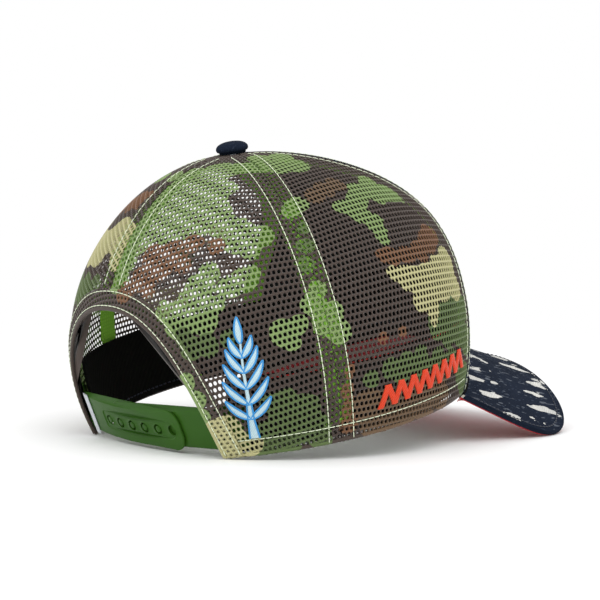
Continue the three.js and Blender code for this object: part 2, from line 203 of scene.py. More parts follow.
ARCH_FOOT = math.asin((0.9 / ARCH_HEIGHT) ** (ARCH_FULL / 2)) / math.pi


# ---- Pieces from arrays of points ----

def piece(name, points, faces, material, slot, body=SHELL, stands_for=(), cloth=None, weld=False, sharp=None):
    """A closed mesh that rides on a body. points are in the cap frame; cloth is the flat place of each point."""
    mesh = bpy.data.meshes.new(name)
    mesh.from_pydata(to_row(points).tolist(), [], faces)
    if cloth is not None:
        layer = mesh.uv_layers.new(name="cloth")
        corner = np.zeros(len(mesh.loops), np.int32)
        mesh.loops.foreach_get("vertex_index", corner)
        layer.data.foreach_set("uv", (np.asarray(cloth, float) * 0.01)[corner].ravel())
    bm = bmesh.new()
    bm.from_mesh(mesh)
    if weld:
        bmesh.ops.remove_doubles(bm, verts=bm.verts, dist=4e-6)
        bmesh.ops.dissolve_degenerate(bm, edges=bm.edges, dist=2e-6)
    bmesh.ops.recalc_face_normals(bm, faces=bm.faces)
    bm.to_mesh(mesh)
    bm.free()
    mesh.polygons.foreach_set("use_smooth", [True] * len(mesh.polygons))
    if sharp:
        mesh.set_sharp_from_angle(angle=math.radians(sharp))
    mesh.materials.append(material)
    made = bpy.data.objects.new(name, mesh)
    bpy.context.scene.collection.objects.link(made)
    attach(made, body)
    if stands_for:
        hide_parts(*stands_for)
    return made


def tube_faces(n, k, start=0, capped=True):
    """Quads round n rings of k points each, with closed ends."""
    faces = []
    for i in range(n - 1):
        for j in range(k):
            a, b = start + i * k + j, start + i * k + (j + 1) % k
            faces.append((a, b, b + k, a + k))
    if capped:
        faces.append(tuple(start + j for j in range(k))[::-1])
        faces.append(tuple(start + (n - 1) * k + j for j in range(k)))
    return faces


def band_profile(low, high, inner, outer, steps=6, crown_up=0.0):
    """A flat loop of (across, off) points with rounded long edges; crown_up swells its outer side."""
    across = np.linspace(low, high, steps + 1)
    swell = crown_up * (1 - np.linspace(-1, 1, steps + 1) ** 2)
    middle, half = (inner + outer) / 2, (outer - inner) / 2
    loop = [(a, outer + s) for a, s in zip(across, swell)]
    loop.append((high + half * 0.7, middle + half * 0.5))
    loop.append((high + half * 0.7, middle - half * 0.5))
    loop += [(a, inner) for a in across[::-1]]
    loop.append((low - half * 0.7, middle - half * 0.5))
    loop.append((low - half * 0.7, middle + half * 0.5))
    return np.array(loop)


def swept(place, start, end, steps, profile):
    """Sections of a profile carried along place(s, across, off), with their flat places."""
    s = np.linspace(start, end, steps + 1)[:, None]
    points = place(s, profile[None, :, 0], profile[None, :, 1])
    middle = place(s[:, 0], profile[:, 0].mean(), profile[:, 1].mean())
    run = np.concatenate([[0], np.cumsum(np.linalg.norm(np.diff(middle, axis=0), axis=1))])
    cloth = np.stack(np.broadcast_arrays(run[:, None], profile[None, :, 0]), -1)
    k = len(profile)
    return points.reshape(-1, 3), tube_faces(steps + 1, k), cloth.reshape(-1, 2)


def ribbon(name, place, start, end, steps, profile, material, slot, **more):
    points, faces, cloth = swept(place, start, end, steps, profile)
    return piece(name, points, faces, material, slot, cloth=cloth, sharp=50, **more)


def along_seam(line):
    """place(t, across, off) beside a seam, with the distance across limited where the crown narrows."""
    def place(t, across, off):
        angle = line(t)
        radius = radius_at(angle, t)
        reach = 0.37 * radius
        across = np.clip(across, -reach, reach)
        return crown(angle + across / radius, t, off)
    return place


def along_rim(angle, height, off):
    return crown(angle, height_to_t(angle, height), off)


# ---- Knitted net: rows of rounded holes in brick order, laid flat on the unfolded cloth ----

def unfold(surface, nu, nv):
    """Flat places, in millimetres, of a grid on surface(u, v, off), keeping its lengths as well as it can."""
    u, v = np.meshgrid(np.linspace(0, 1, nu + 1), np.linspace(0, 1, nv + 1), indexing="ij")
    solid = surface(u, v, 0.0)
    side = np.linalg.norm(np.diff(solid, axis=0), axis=-1)
    x = np.concatenate([np.zeros((1, nv + 1)), np.cumsum(side, axis=0)])
    x = x - x[nu // 2]
    rise = np.linalg.norm(np.diff(solid[nu // 2], axis=0), axis=-1)
    y = np.broadcast_to(np.concatenate([[0], np.cumsum(rise)]), x.shape)
    flat = np.stack([x, y], -1).reshape(-1, 2)
    number = np.arange((nu + 1) * (nv + 1)).reshape(nu + 1, nv + 1)
    pairs = [
        (number[:-1], number[1:]),
        (number[:, :-1], number[:, 1:]),
        (number[:-1, :-1], number[1:, 1:]),
        (number[1:, :-1], number[:-1, 1:]),
    ]
    a = np.concatenate([p.ravel() for p, _ in pairs])
    b = np.concatenate([q.ravel() for _, q in pairs])
    corners = solid.reshape(-1, 3)
    rest = np.linalg.norm(corners[a] - corners[b], axis=1)
    share = np.bincount(np.concatenate([a, b]))
    for _ in range(700):
        gap = flat[b] - flat[a]
        size = np.maximum(np.linalg.norm(gap, axis=1), 1e-9)
        move = gap * ((size - rest) / size)[:, None]
        for axis in (0, 1):
            pull = np.bincount(a, move[:, axis], len(flat)) - np.bincount(b, move[:, axis], len(flat))
            flat[:, axis] += 0.9 * pull / share
    flat = flat.reshape(nu + 1, nv + 1, 2)
    up = flat[nu // 2, nv // 2] - flat[nu // 2, 0]
    turn = math.pi / 2 - math.atan2(up[1], up[0])
    c, s = math.cos(turn), math.sin(turn)
    return (flat - flat[nu // 2, 0]) @ np.array([[c, s], [-s, c]])


def flat_to_uv(flat, spots):
    """u and v of flat places, and how far outside the cloth each one lies."""
    nu, nv = flat.shape[0] - 1, flat.shape[1] - 1
    coarse = flat.reshape(-1, 2)
    nearest = np.concatenate([
        np.argmin(((part[:, None] - coarse[None]) ** 2).sum(-1), axis=1)
        for part in np.array_split(spots, max(len(spots) // 2000, 1))
    ])
    uv = np.stack([nearest // (nv + 1) / nu, nearest % (nv + 1) / nv], -1)

    def carried(uv):
        i = np.clip(np.floor(uv[:, 0] * nu).astype(int), 0, nu - 1)
        j = np.clip(np.floor(uv[:, 1] * nv).astype(int), 0, nv - 1)
        a, b = (uv[:, 0] * nu - i)[:, None], (uv[:, 1] * nv - j)[:, None]
        p, q, r, s = flat[i, j], flat[i + 1, j], flat[i, j + 1], flat[i + 1, j + 1]
        spot = (p * (1 - a) + q * a) * (1 - b) + (r * (1 - a) + s * a) * b
        return spot, ((q - p) * (1 - b) + (s - r) * b) * nu, ((r - p) * (1 - a) + (s - q) * a) * nv

    for _ in range(14):
        spot, du, dv = carried(uv)
        miss = spots - spot
        size = du[:, 0] * dv[:, 1] - du[:, 1] * dv[:, 0]
        size = np.where(np.abs(size) < 1e-9, 1e-9, size)
        step_u = (miss[:, 0] * dv[:, 1] - miss[:, 1] * dv[:, 0]) / size
        step_v = (du[:, 0] * miss[:, 1] - du[:, 1] * miss[:, 0]) / size
        uv = np.clip(uv + np.clip(np.stack([step_u, step_v], -1), -0.2, 0.2), -0.3, 1.3)
    inside = np.clip(uv, 0, 1)
    outside = np.linalg.norm(carried(inside)[0] - spots, axis=1)
    return inside, np.where(np.abs(inside - uv).max(1) > 1e-6, outside, 0)


def net(name, surface, grid, grain, mid, half, material, opening=False, pitch=NET_PITCH, hole=NET_HOLE,
        shift=0.0, **more):
    """A net cloth over surface(u, v, off). Its threads are round: thick between the holes, thin at the holes."""
    flat = unfold(surface, *grid)
    c, s = math.cos(grain), math.sin(grain)
    turn = np.array([[c, s], [-s, c]])
    across = flat.reshape(-1, 2) @ turn.T
    low, high = across.min(0), across.max(0)
    columns = np.arange(math.floor(low[0] / pitch[0]) - 1, math.ceil(high[0] / pitch[0]) + 2)
    rows = np.arange(math.floor(low[1] / pitch[1]) - 1, math.ceil(high[1] / pitch[1]) + 2)
    i, j = np.meshgrid(columns, rows, indexing="ij")
    centre = np.stack([(i + 0.5 * (j % 2) + shift) * pitch[0], (j + shift) * pitch[1]], -1).reshape(-1, 2)
    _, outside = flat_to_uv(flat, centre @ turn)
    keep = outside < 0.42 * pitch[0]
    centre = centre[keep]

    around = [(1, 0), (1, 1), (0, 1), (-1, 1), (-1, 0), (-1, -1), (0, -1), (1, -1)]
    edge = np.array(around) * np.array(pitch) / 2
    ring = np.array([(x * 0.78, y * 0.74) if x and y else (x, y) for x, y in around])
    ring = ring * np.array(hole)
    outer = (centre[:, None] + edge[None]).reshape(-1, 2)
    _, first, back = np.unique(np.round(outer * 50).astype(int), axis=0, return_index=True, return_inverse=True)
    back = back.reshape(-1)
    corners = outer[first]
    hole_points = (centre[:, None] + ring[None]).reshape(-1, 2)
    spots = np.concatenate([corners, hole_points])
    uv, outside = flat_to_uv(flat, spots @ turn)
    on_edge = outside > 0

    def lift(offs):
        return surface(uv[:, 0], uv[:, 1], offs)

    offs = np.full(len(spots), mid)
    n = len(corners)
    thick = np.where(on_edge[:n], 0.0, half)
    top = offs.copy()
    top[:n] += thick
    under = offs.copy()
    under[:n] -= thick
    points = np.concatenate([lift(top), lift(under)[:n]])
    if opening:
        points = outside_arch(points, mid)
    total = len(spots)
    cells = len(centre)
    rim = back.reshape(cells, 8)
    inner = n + np.arange(cells * 8).reshape(cells, 8)
    nxt = (np.arange(8) + 1) % 8
    front = np.stack([rim, rim[:, nxt], inner[:, nxt], inner], -1).reshape(-1, 4)
    rear_rim = rim + total
    rear = np.stack([inner, inner[:, nxt], rear_rim[:, nxt], rear_rim], -1).reshape(-1, 4)
    faces = np.concatenate([front, rear])
    # Faces that the cloth's edge has squeezed to nothing are left out.
    a, b, d = points[faces[:, 0]], points[faces[:, 1]], points[faces[:, 3]]
    e = points[faces[:, 2]]
    area = np.linalg.norm(np.cross(e - a, d - b), axis=1)
    faces = faces[area > 0.004]
    cloth = np.concatenate([spots @ turn, (corners @ turn)])
    used = np.unique(faces)
    renumber = np.zeros(len(points), int)
    renumber[used] = np.arange(len(used))
    kept_faces = renumber[faces].tolist()
    made = piece(name, points[used], kept_faces, material, "net", cloth=cloth[used], weld=True, **more)
    bake_map(made)
    return made


IN_LIP = 0.95


def outside_arch(points, mid):
    """Points inside the rear opening are moved out into its lip, just beyond its edge, where the cloth ends."""
    x, y, z = points.T
    half, height = ARCH_HALF + IN_LIP, ARCH_HEIGHT + IN_LIP
    level = (np.abs(x) / half) ** ARCH_FULL + (np.maximum(z, 0) / height) ** ARCH_FULL
    within = (level < 1) & (y > 0)
    grow = np.maximum(level[within], 1e-6) ** (-1 / ARCH_FULL)
    px, pz = x[within] * grow, z[within] * grow
    angle = back_angle(px, pz)
    moved = points.copy()
    moved[within] = crown(angle, height_to_t(angle, pz), mid)
    return moved


def bake_map(made):
    """The cloth's flat places, fitted into the unit square, as a second map named OFBake."""
    mesh = made.data
    source = mesh.uv_layers["cloth"]
    flat = np.zeros(len(mesh.loops) * 2)
    source.data.foreach_get("uv", flat)
    flat = flat.reshape(-1, 2)
    flat = (flat - flat.min(0)) / (flat.max(0) - flat.min(0)).max() * 0.98 + 0.01
    layer = mesh.uv_layers.new(name="OFBake")
    layer.data.foreach_set("uv", flat.ravel())


def gore(start, end):
    """surface(u, v, off) of a crown panel between two seams."""
    def surface(u, v, off):
        t = v * TOP_T
        seam_gap = 0.2 / radius_at(start(t), t)
        a, b = start(t) + seam_gap, end(t) - seam_gap
        return crown(a + (b - a) * u, t, off)
    return surface


def seam_zone(line, low, high, t0, t1):
    """surface(u, v, off) of a strip beside a seam, from low to high millimetres across it."""
    place = along_seam(line)

    def surface(u, v, off):
        return place(t0 + (t1 - t0) * v, low + (high - low) * u, off)
    return surface


# ---- Stitches ----

def stitches(name, lines, pitch, length, radius, material, slot, rise=0.0, slant=0.0, body=SHELL):
    """Rows of single stitches, each a short thread that dips into the cloth at both ends.
    A line is (points, normals) along which the row runs."""
    ring = 6
    turn = np.linspace(0, 2 * math.pi, ring, endpoint=False)
    points, faces = [], []
    for path, normals in lines:
        run = np.concatenate([[0], np.cumsum(np.linalg.norm(np.diff(path, axis=0), axis=1))])
        for begin in np.arange(pitch * 0.3, run[-1] - length, pitch):
            share = np.array([0.0, 0.14, 0.5, 0.86, 1.0])
            at = begin + share * length
            middle = np.stack([np.interp(at, run, path[:, k]) for k in range(3)], -1)
            normal = unit(np.stack([np.interp(at, run, normals[:, k]) for k in range(3)], -1))
            along = unit(np.gradient(middle, axis=0))
            side = unit(np.cross(normal, along))
            middle = middle + side * ((share - 0.5) * slant)[:, None]
            middle = middle + normal * (rise + radius * np.array([-0.9, 0.25, 0.75, 0.25, -0.9]))[:, None]
            fat = radius * np.array([0.45, 0.95, 1.0, 0.95, 0.45])
            base = len(points)
            loops = middle[:, None] + fat[:, None, None] * (
                side[:, None] * np.cos(turn)[None, :, None] * 1.25 + normal[:, None] * np.sin(turn)[None, :, None]
            )
            start = base * 5 * ring
            points.append(loops.reshape(-1, 3))
            faces += tube_faces(5, ring, start)
    return piece(name, np.concatenate(points), faces, material, slot, body=body)


def seam_row(line, across, t0, t1, off=0.0, steps=240):
    t = np.linspace(t0, t1, steps)
    place = along_seam(line)
    low, high = place(t, across, off), place(t, across, off + 1)
    return low, high - low


def rim_row(a0, a1, height, off=0.0, steps=240):
    angle = np.linspace(math.radians(a0), math.radians(a1), steps)
    low, high = along_rim(angle, height, off), along_rim(angle, height, off + 1)
    return low, high - low


def arch_row(outwards, off, f0=ARCH_FOOT, f1=1 - ARCH_FOOT, steps=260):
    along = np.linspace(f0, f1, steps)
    low, high = arch(along, outwards, off), arch(along, outwards, off + 1)
    return low, high - low


# ---- Materials ----

class Look:
    """A node material with a principled shader, and short ways to add nodes to it."""

    def __init__(self, name, roughness, **sockets):
        self.material = bpy.data.materials.new(name)
        self.material.use_nodes = True
        self.tree = self.material.node_tree
        self.shader = self.tree.nodes["Principled BSDF"]
        self.shader.inputs["Roughness"].default_value = roughness
        for socket, value in sockets.items():
            self.shader.inputs[socket.replace("_", " ")].default_value = value

    def node(self, kind, inputs=(), **settings):
        made = self.tree.nodes.new("ShaderNode" + kind)
        for key, value in settings.items():
            setattr(made, key, value)
        for key, value in dict(inputs).items():
            if isinstance(value, bpy.types.NodeSocket):
                self.tree.links.new(value, made.inputs[key])
            else:
                made.inputs[key].default_value = value
        return made

    def math(self, operation, a, b=0.0, c=None, clamp=False):
        inputs = {0: a, 1: b} if c is None else {0: a, 1: b, 2: c}
        return self.node("Math", inputs, operation=operation, use_clamp=clamp).outputs[0]

    def vector(self, operation, a, b=(0, 0, 0), output="Vector"):
        return self.node("VectorMath", {0: a, 1: b}, operation=operation).outputs[output]

    def mix(self, factor, a, b, blend="MIX"):
        return self.node(
            "Mix", {0: factor, 6: a, 7: b}, data_type="RGBA", blend_type=blend
        ).outputs[2]

    def place(self):
        return self.node("TexCoord").outputs["Object"]

    def cloth(self):
        return self.node("UVMap", uv_map="cloth").outputs["UV"]

    def noise(self, where, scale, detail=2.0, rough=0.5, colour=False):
        made = self.node(
            "TexNoise", {"Vector": where, "Scale": scale, "Detail": detail, "Roughness": rough}
        )
        return made.outputs["Color" if colour else 0]

    def wave(self, where, scale, direction="X", distortion=0.0):
        inputs = {"Vector": where, "Scale": scale, "Distortion": distortion, "Detail": 0.0}
        made = self.node("TexWave", inputs, wave_type="BANDS", bands_direction=direction)
        return made.outputs["Fac"]

    def stretch(self, where, factors):
        return self.vector("MULTIPLY", where, factors)

    def colour(self, socket):
        self.tree.links.new(socket, self.shader.inputs["Base Color"])

    def bump(self, height, strength, distance):
        made = self.node("Bump", {"Strength": strength, "Distance": distance, "Height": height})
        self.tree.links.new(made.outputs[0], self.shader.inputs["Normal"])

    def roughen(self, socket):
        self.tree.links.new(socket, self.shader.inputs["Roughness"])

    def twill(self, pitch_mm, lean=1.0):
        """Diagonal ribs of a twill weave on the flat cloth."""
        flat = self.cloth()
        ribs = self.wave(self.stretch(flat, (1.0, lean, 0.0)), 100 / pitch_mm / 6.28, "DIAGONAL")
        return ribs

    def plain_weave(self, pitch_mm):
        """Over-and-under threads of a plain weave on the flat cloth."""
        flat = self.cloth()
        scale = 100 / pitch_mm / 6.28
        warp, weft = self.wave(flat, scale, "X"), self.wave(flat, scale, "Y")
        return self.math("MAXIMUM", warp, weft)


def rgb(text):
    """A display colour like 'a0b1c2' as the shader's linear colour."""
    parts = [int(text[i:i + 2], 16) / 255 for i in (0, 2, 4)]
    return tuple(c / 12.92 if c <= 0.04045 else ((c + 0.055) / 1.055) ** 2.4 for c in parts) + (1.0,)


CAMO = {
    "dark": rgb("42362f"),
    "light": rgb("7c9359"),
    "mid": rgb("56683a"),
    "tan": rgb("b4b080"),
    "rust": rgb("704d32"),
    "umber": rgb("665039"),
}
# Printed patches, as (degrees, height, radius in millimetres) of overlapping round spots, right side negative.
RIGHT_PATCHES = [
    ("light", [(-179, 116, 8), (-179, 107, 8), (-179, 98, 7), (-170, 119, 9), (-145, 120, 9),
               (-128, 120, 6), (-172, 111, 9), (-158, 112, 10), (-144, 112, 9), (-150, 117, 8),
               (-138, 113, 6), (-174, 103, 8), (-164, 103, 9), (-152, 104, 9), (-143, 104, 8),
               (-172, 96, 7), (-160, 98, 7), (-150, 98, 6), (-139, 99, 8), (-132, 96, 7), (-126, 93, 6),
               (-136, 91, 5), (-130, 88, 5), (-177, 88, 7), (-177, 79, 6), (-138, 75, 6), (-133, 77, 6),
               (-131, 79, 4), (-144, 82, 5), (-147, 75, 7), (-150, 68, 8), (-146, 62, 7), (-153, 61, 7),
               (-157, 67, 5), (-142, 68, 4), (-125, 53, 6), (-121, 55, 4), (-123, 49, 4), (-116, 62, 6),
               (-114, 54, 6), (-111, 49, 6), (-113, 69, 4), (-111, 58, 5), (-112, 119, 6), (-98, 118, 7),
               (-84, 117, 7), (-102, 122, 6), (-78, 121, 6), (-112, 101, 5), (-108, 102, 5), (-89, 98, 5),
               (-85, 94, 6), (-82, 88, 6), (-84, 82, 4), (-80, 99, 6), (-74, 102, 6), (-67, 99, 7),
               (-60, 96, 8), (-62, 104, 6), (-152, 37, 4), (-150, 29, 5), (-149, 21, 4)]),
    ("mid", [(-78, 40, 7), (-71, 42, 9), (-63, 42, 9), (-74, 34, 6), (-66, 33, 8), (-61, 26, 7),
             (-104, 25, 4), (-98, 28, 5), (-92, 29, 5), (-87, 31, 4), (-94, 24, 5), (-87, 24, 6),
             (-80, 25, 6), (-150, 51, 5), (-145, 52, 5), (-139, 54, 4), (-152, 56, 4), (-131, 23, 5),
             (-127, 24, 5), (-122, 19, 6), (-128, 14, 8), (-121, 9, 8), (-134, 10, 6), (-135, 4, 6),
             (-128, 4, 6), (-119, 3, 5), (-73, 22, 6), (-67, 15, 6), (-63, 10, 7), (-60, 5, 7),
             (-112, 86, 4), (-111, 93, 3), (-114, 79, 4)]),
    ("tan", [(-88, 67, 4), (-84, 64, 6), (-80, 61, 7), (-74, 62, 7), (-67, 63, 7), (-60, 64, 7),
             (-77, 55, 7), (-70, 55, 7), (-63, 54, 8), (-78, 48, 5), (-82, 53, 5), (-79, 43, 3),
             (-144, 12, 5), (-141, 8, 6), (-147, 6, 6), (-143, 2, 5), (-147, 15, 4), (-143, 15, 6),
             (-138, 6, 6)]),
    ("rust", [(-89, 75, 3), (-85, 74, 5), (-79, 73, 5), (-72, 73, 6), (-65, 75, 6), (-60, 77, 6),
              (-150, 93, 5), (-142, 91, 4), (-157, 91, 6), (-165, 90, 6), (-161, 84, 6), (-153, 85, 5),
              (-168, 81, 6), (-173, 75, 5), (-164, 76, 4), (-111, 23, 4), (-110, 15, 5), (-111, 8, 5),
              (-110, 31, 3), (-92, 43, 3), (-99, 42, 3)]),
    ("umber", [(-105, 14, 7), (-99, 12, 8), (-91, 13, 7), (-84, 15, 6), (-78, 15, 5), (-103, 5, 8),
               (-94, 5, 8), (-85, 6, 8), (-77, 6, 6), (-90, 106, 5), (-80, 107, 5), (-98, 104, 5)]),
    ("dark", [(-133, 109, 4), (-129, 105, 6), (-124, 101, 6), (-119, 98, 4), (-126, 112, 4), (-120, 115, 4),
              (-73, 89, 6), (-67, 90, 7), (-61, 88, 7), (-70, 84, 5), (-76, 85, 5), (-156, 74, 4)]),
]
LEFT_PATCHES = [
    ("light", [(172, 119, 5), (150, 118, 5), (128, 108, 12), (108, 113, 12), (84, 117, 12), (118, 60, 10),
               (106, 66, 9), (140, 64, 8), (84, 92, 9), (72, 98, 8), (96, 24, 9), (86, 20, 8), (132, 24, 9),
               (70, 52, 8)]),
    ("mid", [(160, 73, 9), (149, 72, 9), (169, 77, 6), (128, 44, 10), (116, 36, 9), (72, 28, 11),
             (64, 36, 10), (100, 96, 9), (92, 104, 8), (144, 22, 9), (78, 70, 8)]),
    ("tan", [(179, 90, 8), (175, 97, 8), (168, 98, 10), (160, 92, 11), (151, 90, 10), (142, 96, 8),
             (112, 84, 9), (102, 80, 8), (90, 44, 10), (82, 48, 8), (122, 12, 8), (66, 76, 8)]),
    ("rust", [(168, 111, 6), (158, 110, 7), (146, 107, 6), (134, 80, 8), (126, 76, 7), (106, 12, 8),
              (80, 10, 8), (62, 58, 7), (118, 100, 7)]),
    ("umber", [(140, 44, 7), (104, 48, 7), (76, 84, 7), (134, 8, 7)]),
    ("dark", [(176, 110, 6), (98, 62, 7), (124, 90, 6)]),
]


def camo(name, patches):
    """Woodland print: each colour covers what lies within its spots, whose outline wanders."""
    look = Look(name, 0.62, Specular_IOR_Level=0.3, Sheen_Weight=0.15, Sheen_Roughness=0.5)
    place = look.place()
    wander = look.vector("SUBTRACT", look.noise(place, 55, 1.5, colour=True), (0.5, 0.5, 0.5))
    wander = look.vector("SCALE", wander)
    wander.node.inputs["Scale"].default_value = 0.0055
    ragged = look.vector("SUBTRACT", look.noise(place, 230, 1.0, colour=True), (0.5, 0.5, 0.5))
    ragged = look.vector("SCALE", ragged)
    ragged.node.inputs["Scale"].default_value = 0.0014
    where = look.vector("ADD", look.vector("ADD", place, wander), ragged)
    colour = None
    for key, spots in patches:
        nearest = None
        for degrees, height, radius in spots:
            angle = math.radians(degrees)
            centre = to_row(crown(angle, height_to_t(angle, height)))
            distance = look.vector("DISTANCE", where, tuple(centre), output="Value")
            share = look.math("MULTIPLY", distance, 1000 / radius)
            nearest = share if nearest is None else look.math("SMOOTH_MIN", nearest, share, 0.45)
        cover = look.math("LESS_THAN", nearest, 1.0)
        colour = look.mix(cover, CAMO["dark"] if colour is None else colour, CAMO[key])
    thread = look.noise(place, 1400, 2.0, 0.6)
    shade = look.math("MULTIPLY_ADD", thread, 0.5, 0.72)
    tint = look.node("CombineColor", {0: shade, 1: shade, 2: shade}).outputs[0]
    look.colour(look.mix(1.0, colour, tint, "MULTIPLY"))
    knit = look.wave(look.cloth(), 100 / 0.55 / 6.28, "Y", 0.6)
    look.bump(look.math("ADD", knit, thread), 0.35, 0.0002)
    return look.material


def jacquard(name, streaks=None, dashes=False, flecks=0.55):
    """Navy jacquard denim with pale threads, and if asked with broad pale streaks and with short thin dashes.

    Streaks are two rows, broad and thin, of how many fit in a metre across and along the cloth.
    """
    look = Look(name, 0.85, Specular_IOR_Level=0.04, Sheen_Weight=0.0)
    place = look.place()
    weave = look.plain_weave(0.62)
    fleck = look.noise(look.stretch(place, (900, 260, 900)), 1.0, 1.0)
    depth = look.noise(place, 40, 2.0)
    navy = look.mix(look.math("MULTIPLY", depth, 0.8), rgb("141b27"), rgb("283246"))
    navy = look.mix(look.math("MULTIPLY", look.math("GREATER_THAN", fleck, 0.68), flecks), navy, rgb("6c788c"))
    ikat = look.mix(look.noise(place, 160, 2.0), rgb("bcbdbc"), rgb("fdfbf3"))
    if streaks:
        broad, thin = [(across, along, across) for across, along in streaks]
        shape = look.noise(look.stretch(place, broad), 1.0, 1.5, 0.45)
        ragged = look.noise(look.stretch(place, thin), 1.0, 2.0, 0.6)
        pale = look.math("ADD", shape, look.math("MULTIPLY_ADD", ragged, 0.30, -0.15))
        cover = look.math("GREATER_THAN", pale, 0.60)
        navy = look.mix(cover, navy, ikat)
    if dashes:
        fine = look.noise(look.stretch(place, (620, 45, 620)), 1.0, 1.0)
        navy = look.mix(look.math("MULTIPLY", look.math("GREATER_THAN", fine, 0.66), 0.42), navy, rgb("8b929c"))
    look.colour(look.mix(look.math("MULTIPLY", weave, 0.35), navy, rgb("05070c")))
    look.bump(weave, 0.45, 0.0002)
    return look.material


def cloth_look(name, base, deep, pitch, kind="plain", roughness=0.85, sheen=0.2, strength=0.4, gloss=0.25):
    """A woven cloth of one dye: the weave shades it and a slow noise varies it."""
    look = Look(name, roughness, Specular_IOR_Level=gloss, Sheen_Weight=sheen, Sheen_Roughness=0.4)
    weave = look.twill(pitch) if kind == "twill" else look.plain_weave(pitch)
    slow = look.noise(look.place(), 70, 3.0)
    fine = look.noise(look.place(), 1600, 1.0)
    base_mix = look.mix(look.math("MULTIPLY", slow, 0.5), rgb(base), rgb(deep))
    shade = look.math("MULTIPLY_ADD", weave, 0.45, look.math("MULTIPLY", fine, 0.2))
    look.colour(look.mix(shade, base_mix, rgb(deep)))
    look.bump(look.math("ADD", weave, fine), strength, 0.0002)
    return look.material


def thread_look(name, base, deep, twist=0.35, roughness=0.45):
    """Twisted polyester thread, shaded by its strands."""
    look = Look(name, roughness, Specular_IOR_Level=0.4, Sheen_Weight=0.15, Sheen_Roughness=0.3)
    place = look.place()
    strand = look.wave(look.stretch(place, (1000, 1000, 1000)), 1 / twist / 6.28, "DIAGONAL", 1.5)
    slow = look.noise(place, 220, 2.0)
    shade = look.math("MULTIPLY_ADD", strand, 0.35, look.math("MULTIPLY", slow, 0.4))
    look.colour(look.mix(shade, rgb(base), rgb(deep)))
    look.bump(strand, 0.4, 0.0001)
    return look.material


def plastic_look(name, base, deep, roughness=0.36):
    """Moulded plastic with a faint grain and slightly uneven gloss."""
    look = Look(name, roughness, Specular_IOR_Level=0.12, Coat_Weight=0.03, Coat_Roughness=0.2)
    place = look.place()
    slow, fine = look.noise(place, 45, 2.0), look.noise(place, 900, 3.0)
    look.colour(look.mix(look.math("MULTIPLY", slow, 0.7), rgb(base), rgb(deep)))
    look.roughen(look.math("MULTIPLY_ADD", fine, 0.16, roughness - 0.06))
    look.bump(look.math("ADD", fine, slow), 0.12, 0.0002)
    return look.material


def metal_look(name):
    look = Look(name, 0.32, Metallic=1.0)
    place = look.place()
    brushed = look.noise(look.stretch(place, (300, 4000, 300)), 1.0, 2.0)
    look.colour(look.mix(brushed, rgb("9a9da3"), rgb("cfd2d6")))
    look.roughen(look.math("MULTIPLY_ADD", brushed, 0.2, 0.22))
    look.bump(brushed, 0.1, 0.0001)
    return look.material


NET_RIGHT = camo("net_print_right", RIGHT_PATCHES)
NET_LEFT = camo("net_print_left", LEFT_PATCHES)
FRONT_DENIM = jacquard("front_denim", streaks=((62, 11), (260, 16)))
VISOR_DENIM = jacquard("visor_denim", streaks=((130, 40), (420, 34)), dashes=True, flecks=0.25)
PLAIN_DENIM = jacquard("plain_denim", flecks=0.12)
BLACK = cloth_look("black_buckram", "1d1d1f", "0a0a0b", 0.8)
BAND = cloth_look("black_twill", "181816", "0b0b0a", 0.9, "twill", sheen=0.0, gloss=0.05)
RED = cloth_look("red_twill", "c4242c", "7d1218", 0.8, "twill")
TAPE = cloth_look("green_tape", "a4e04a", "6fb430", 0.9)
LABEL = cloth_look("white_satin", "e9ebee", "aeb4bc", 0.5, roughness=0.5)
BOARD = cloth_look("visor_board", "dedbd2", "b9b5a8", 1.4)
STRAP = plastic_look("green_plastic", "355e1a", "264a12")
METAL = metal_look("brushed_steel")
PALE_THREAD = thread_look("pale_thread", "e9f0d8", "bccaa2")
NAVY_THREAD = thread_look("navy_thread", "20283a", "0c1019")
RED_THREAD = thread_look("red_thread", "d2322a", "7d1512")
BLUE_THREAD = thread_look("blue_thread", "3f9fdc", "1e6fb0")
ICE_THREAD = thread_look("ice_thread", "cde0e4", "93bccb")
ORANGE_THREAD = thread_look("orange_thread", "e8420f", "a82706")


# ---- Camera, light and floor ----

VIEW_AZIMUTH, VIEW_ELEVATION, VIEW_ROLL = math.radians(229.760), math.radians(2.892), math.radians(-0.566)
VIEW_TARGET, VIEW_DISTANCE, VIEW_LENS = Vector((0.000186, 0.018638, 0.062649)), 0.8, 98.83


def add_camera():
    back = Vector((
        math.sin(VIEW_AZIMUTH) * math.cos(VIEW_ELEVATION),
        -math.cos(VIEW_AZIMUTH) * math.cos(VIEW_ELEVATION),
        math.sin(VIEW_ELEVATION),
    ))
    ahead = -back
    level = (Vector((0, 0, 1)) - ahead * ahead.z).normalized()
    side = ahead.cross(level)
    up = level * math.cos(VIEW_ROLL) + side * math.sin(VIEW_ROLL)
    right = ahead.cross(up)
    lens = bpy.data.cameras.new("camera")
    lens.lens, lens.sensor_width = VIEW_LENS, 36
    lens.shift_x, lens.shift_y = 0.0247, 0.0094
    lens.clip_start = 0.05
    camera = bpy.data.objects.new("camera", lens)
    camera.matrix_world = Matrix.Translation(VIEW_TARGET + back * VIEW_DISTANCE) @ Matrix(
        (right, up, back)
    ).transposed().to_4x4()
    bpy.context.scene.collection.objects.link(camera)
    bpy.context.scene.camera = camera


def add_light(name, azimuth, elevation, distance, size, power):
    lamp = bpy.data.lights.new(name, "AREA")
    lamp.shape, lamp.size, lamp.energy = "DISK", size, power
    place = Vector((
        math.sin(azimuth) * math.cos(elevation), -math.cos(azimuth) * math.cos(elevation), math.sin(elevation)
    )) * distance
    made = bpy.data.objects.new(name, lamp)
    made.location = place + VIEW_TARGET
    made.rotation_euler = place.to_track_quat("Z", "Y").to_euler()
    bpy.context.scene.collection.objects.link(made)


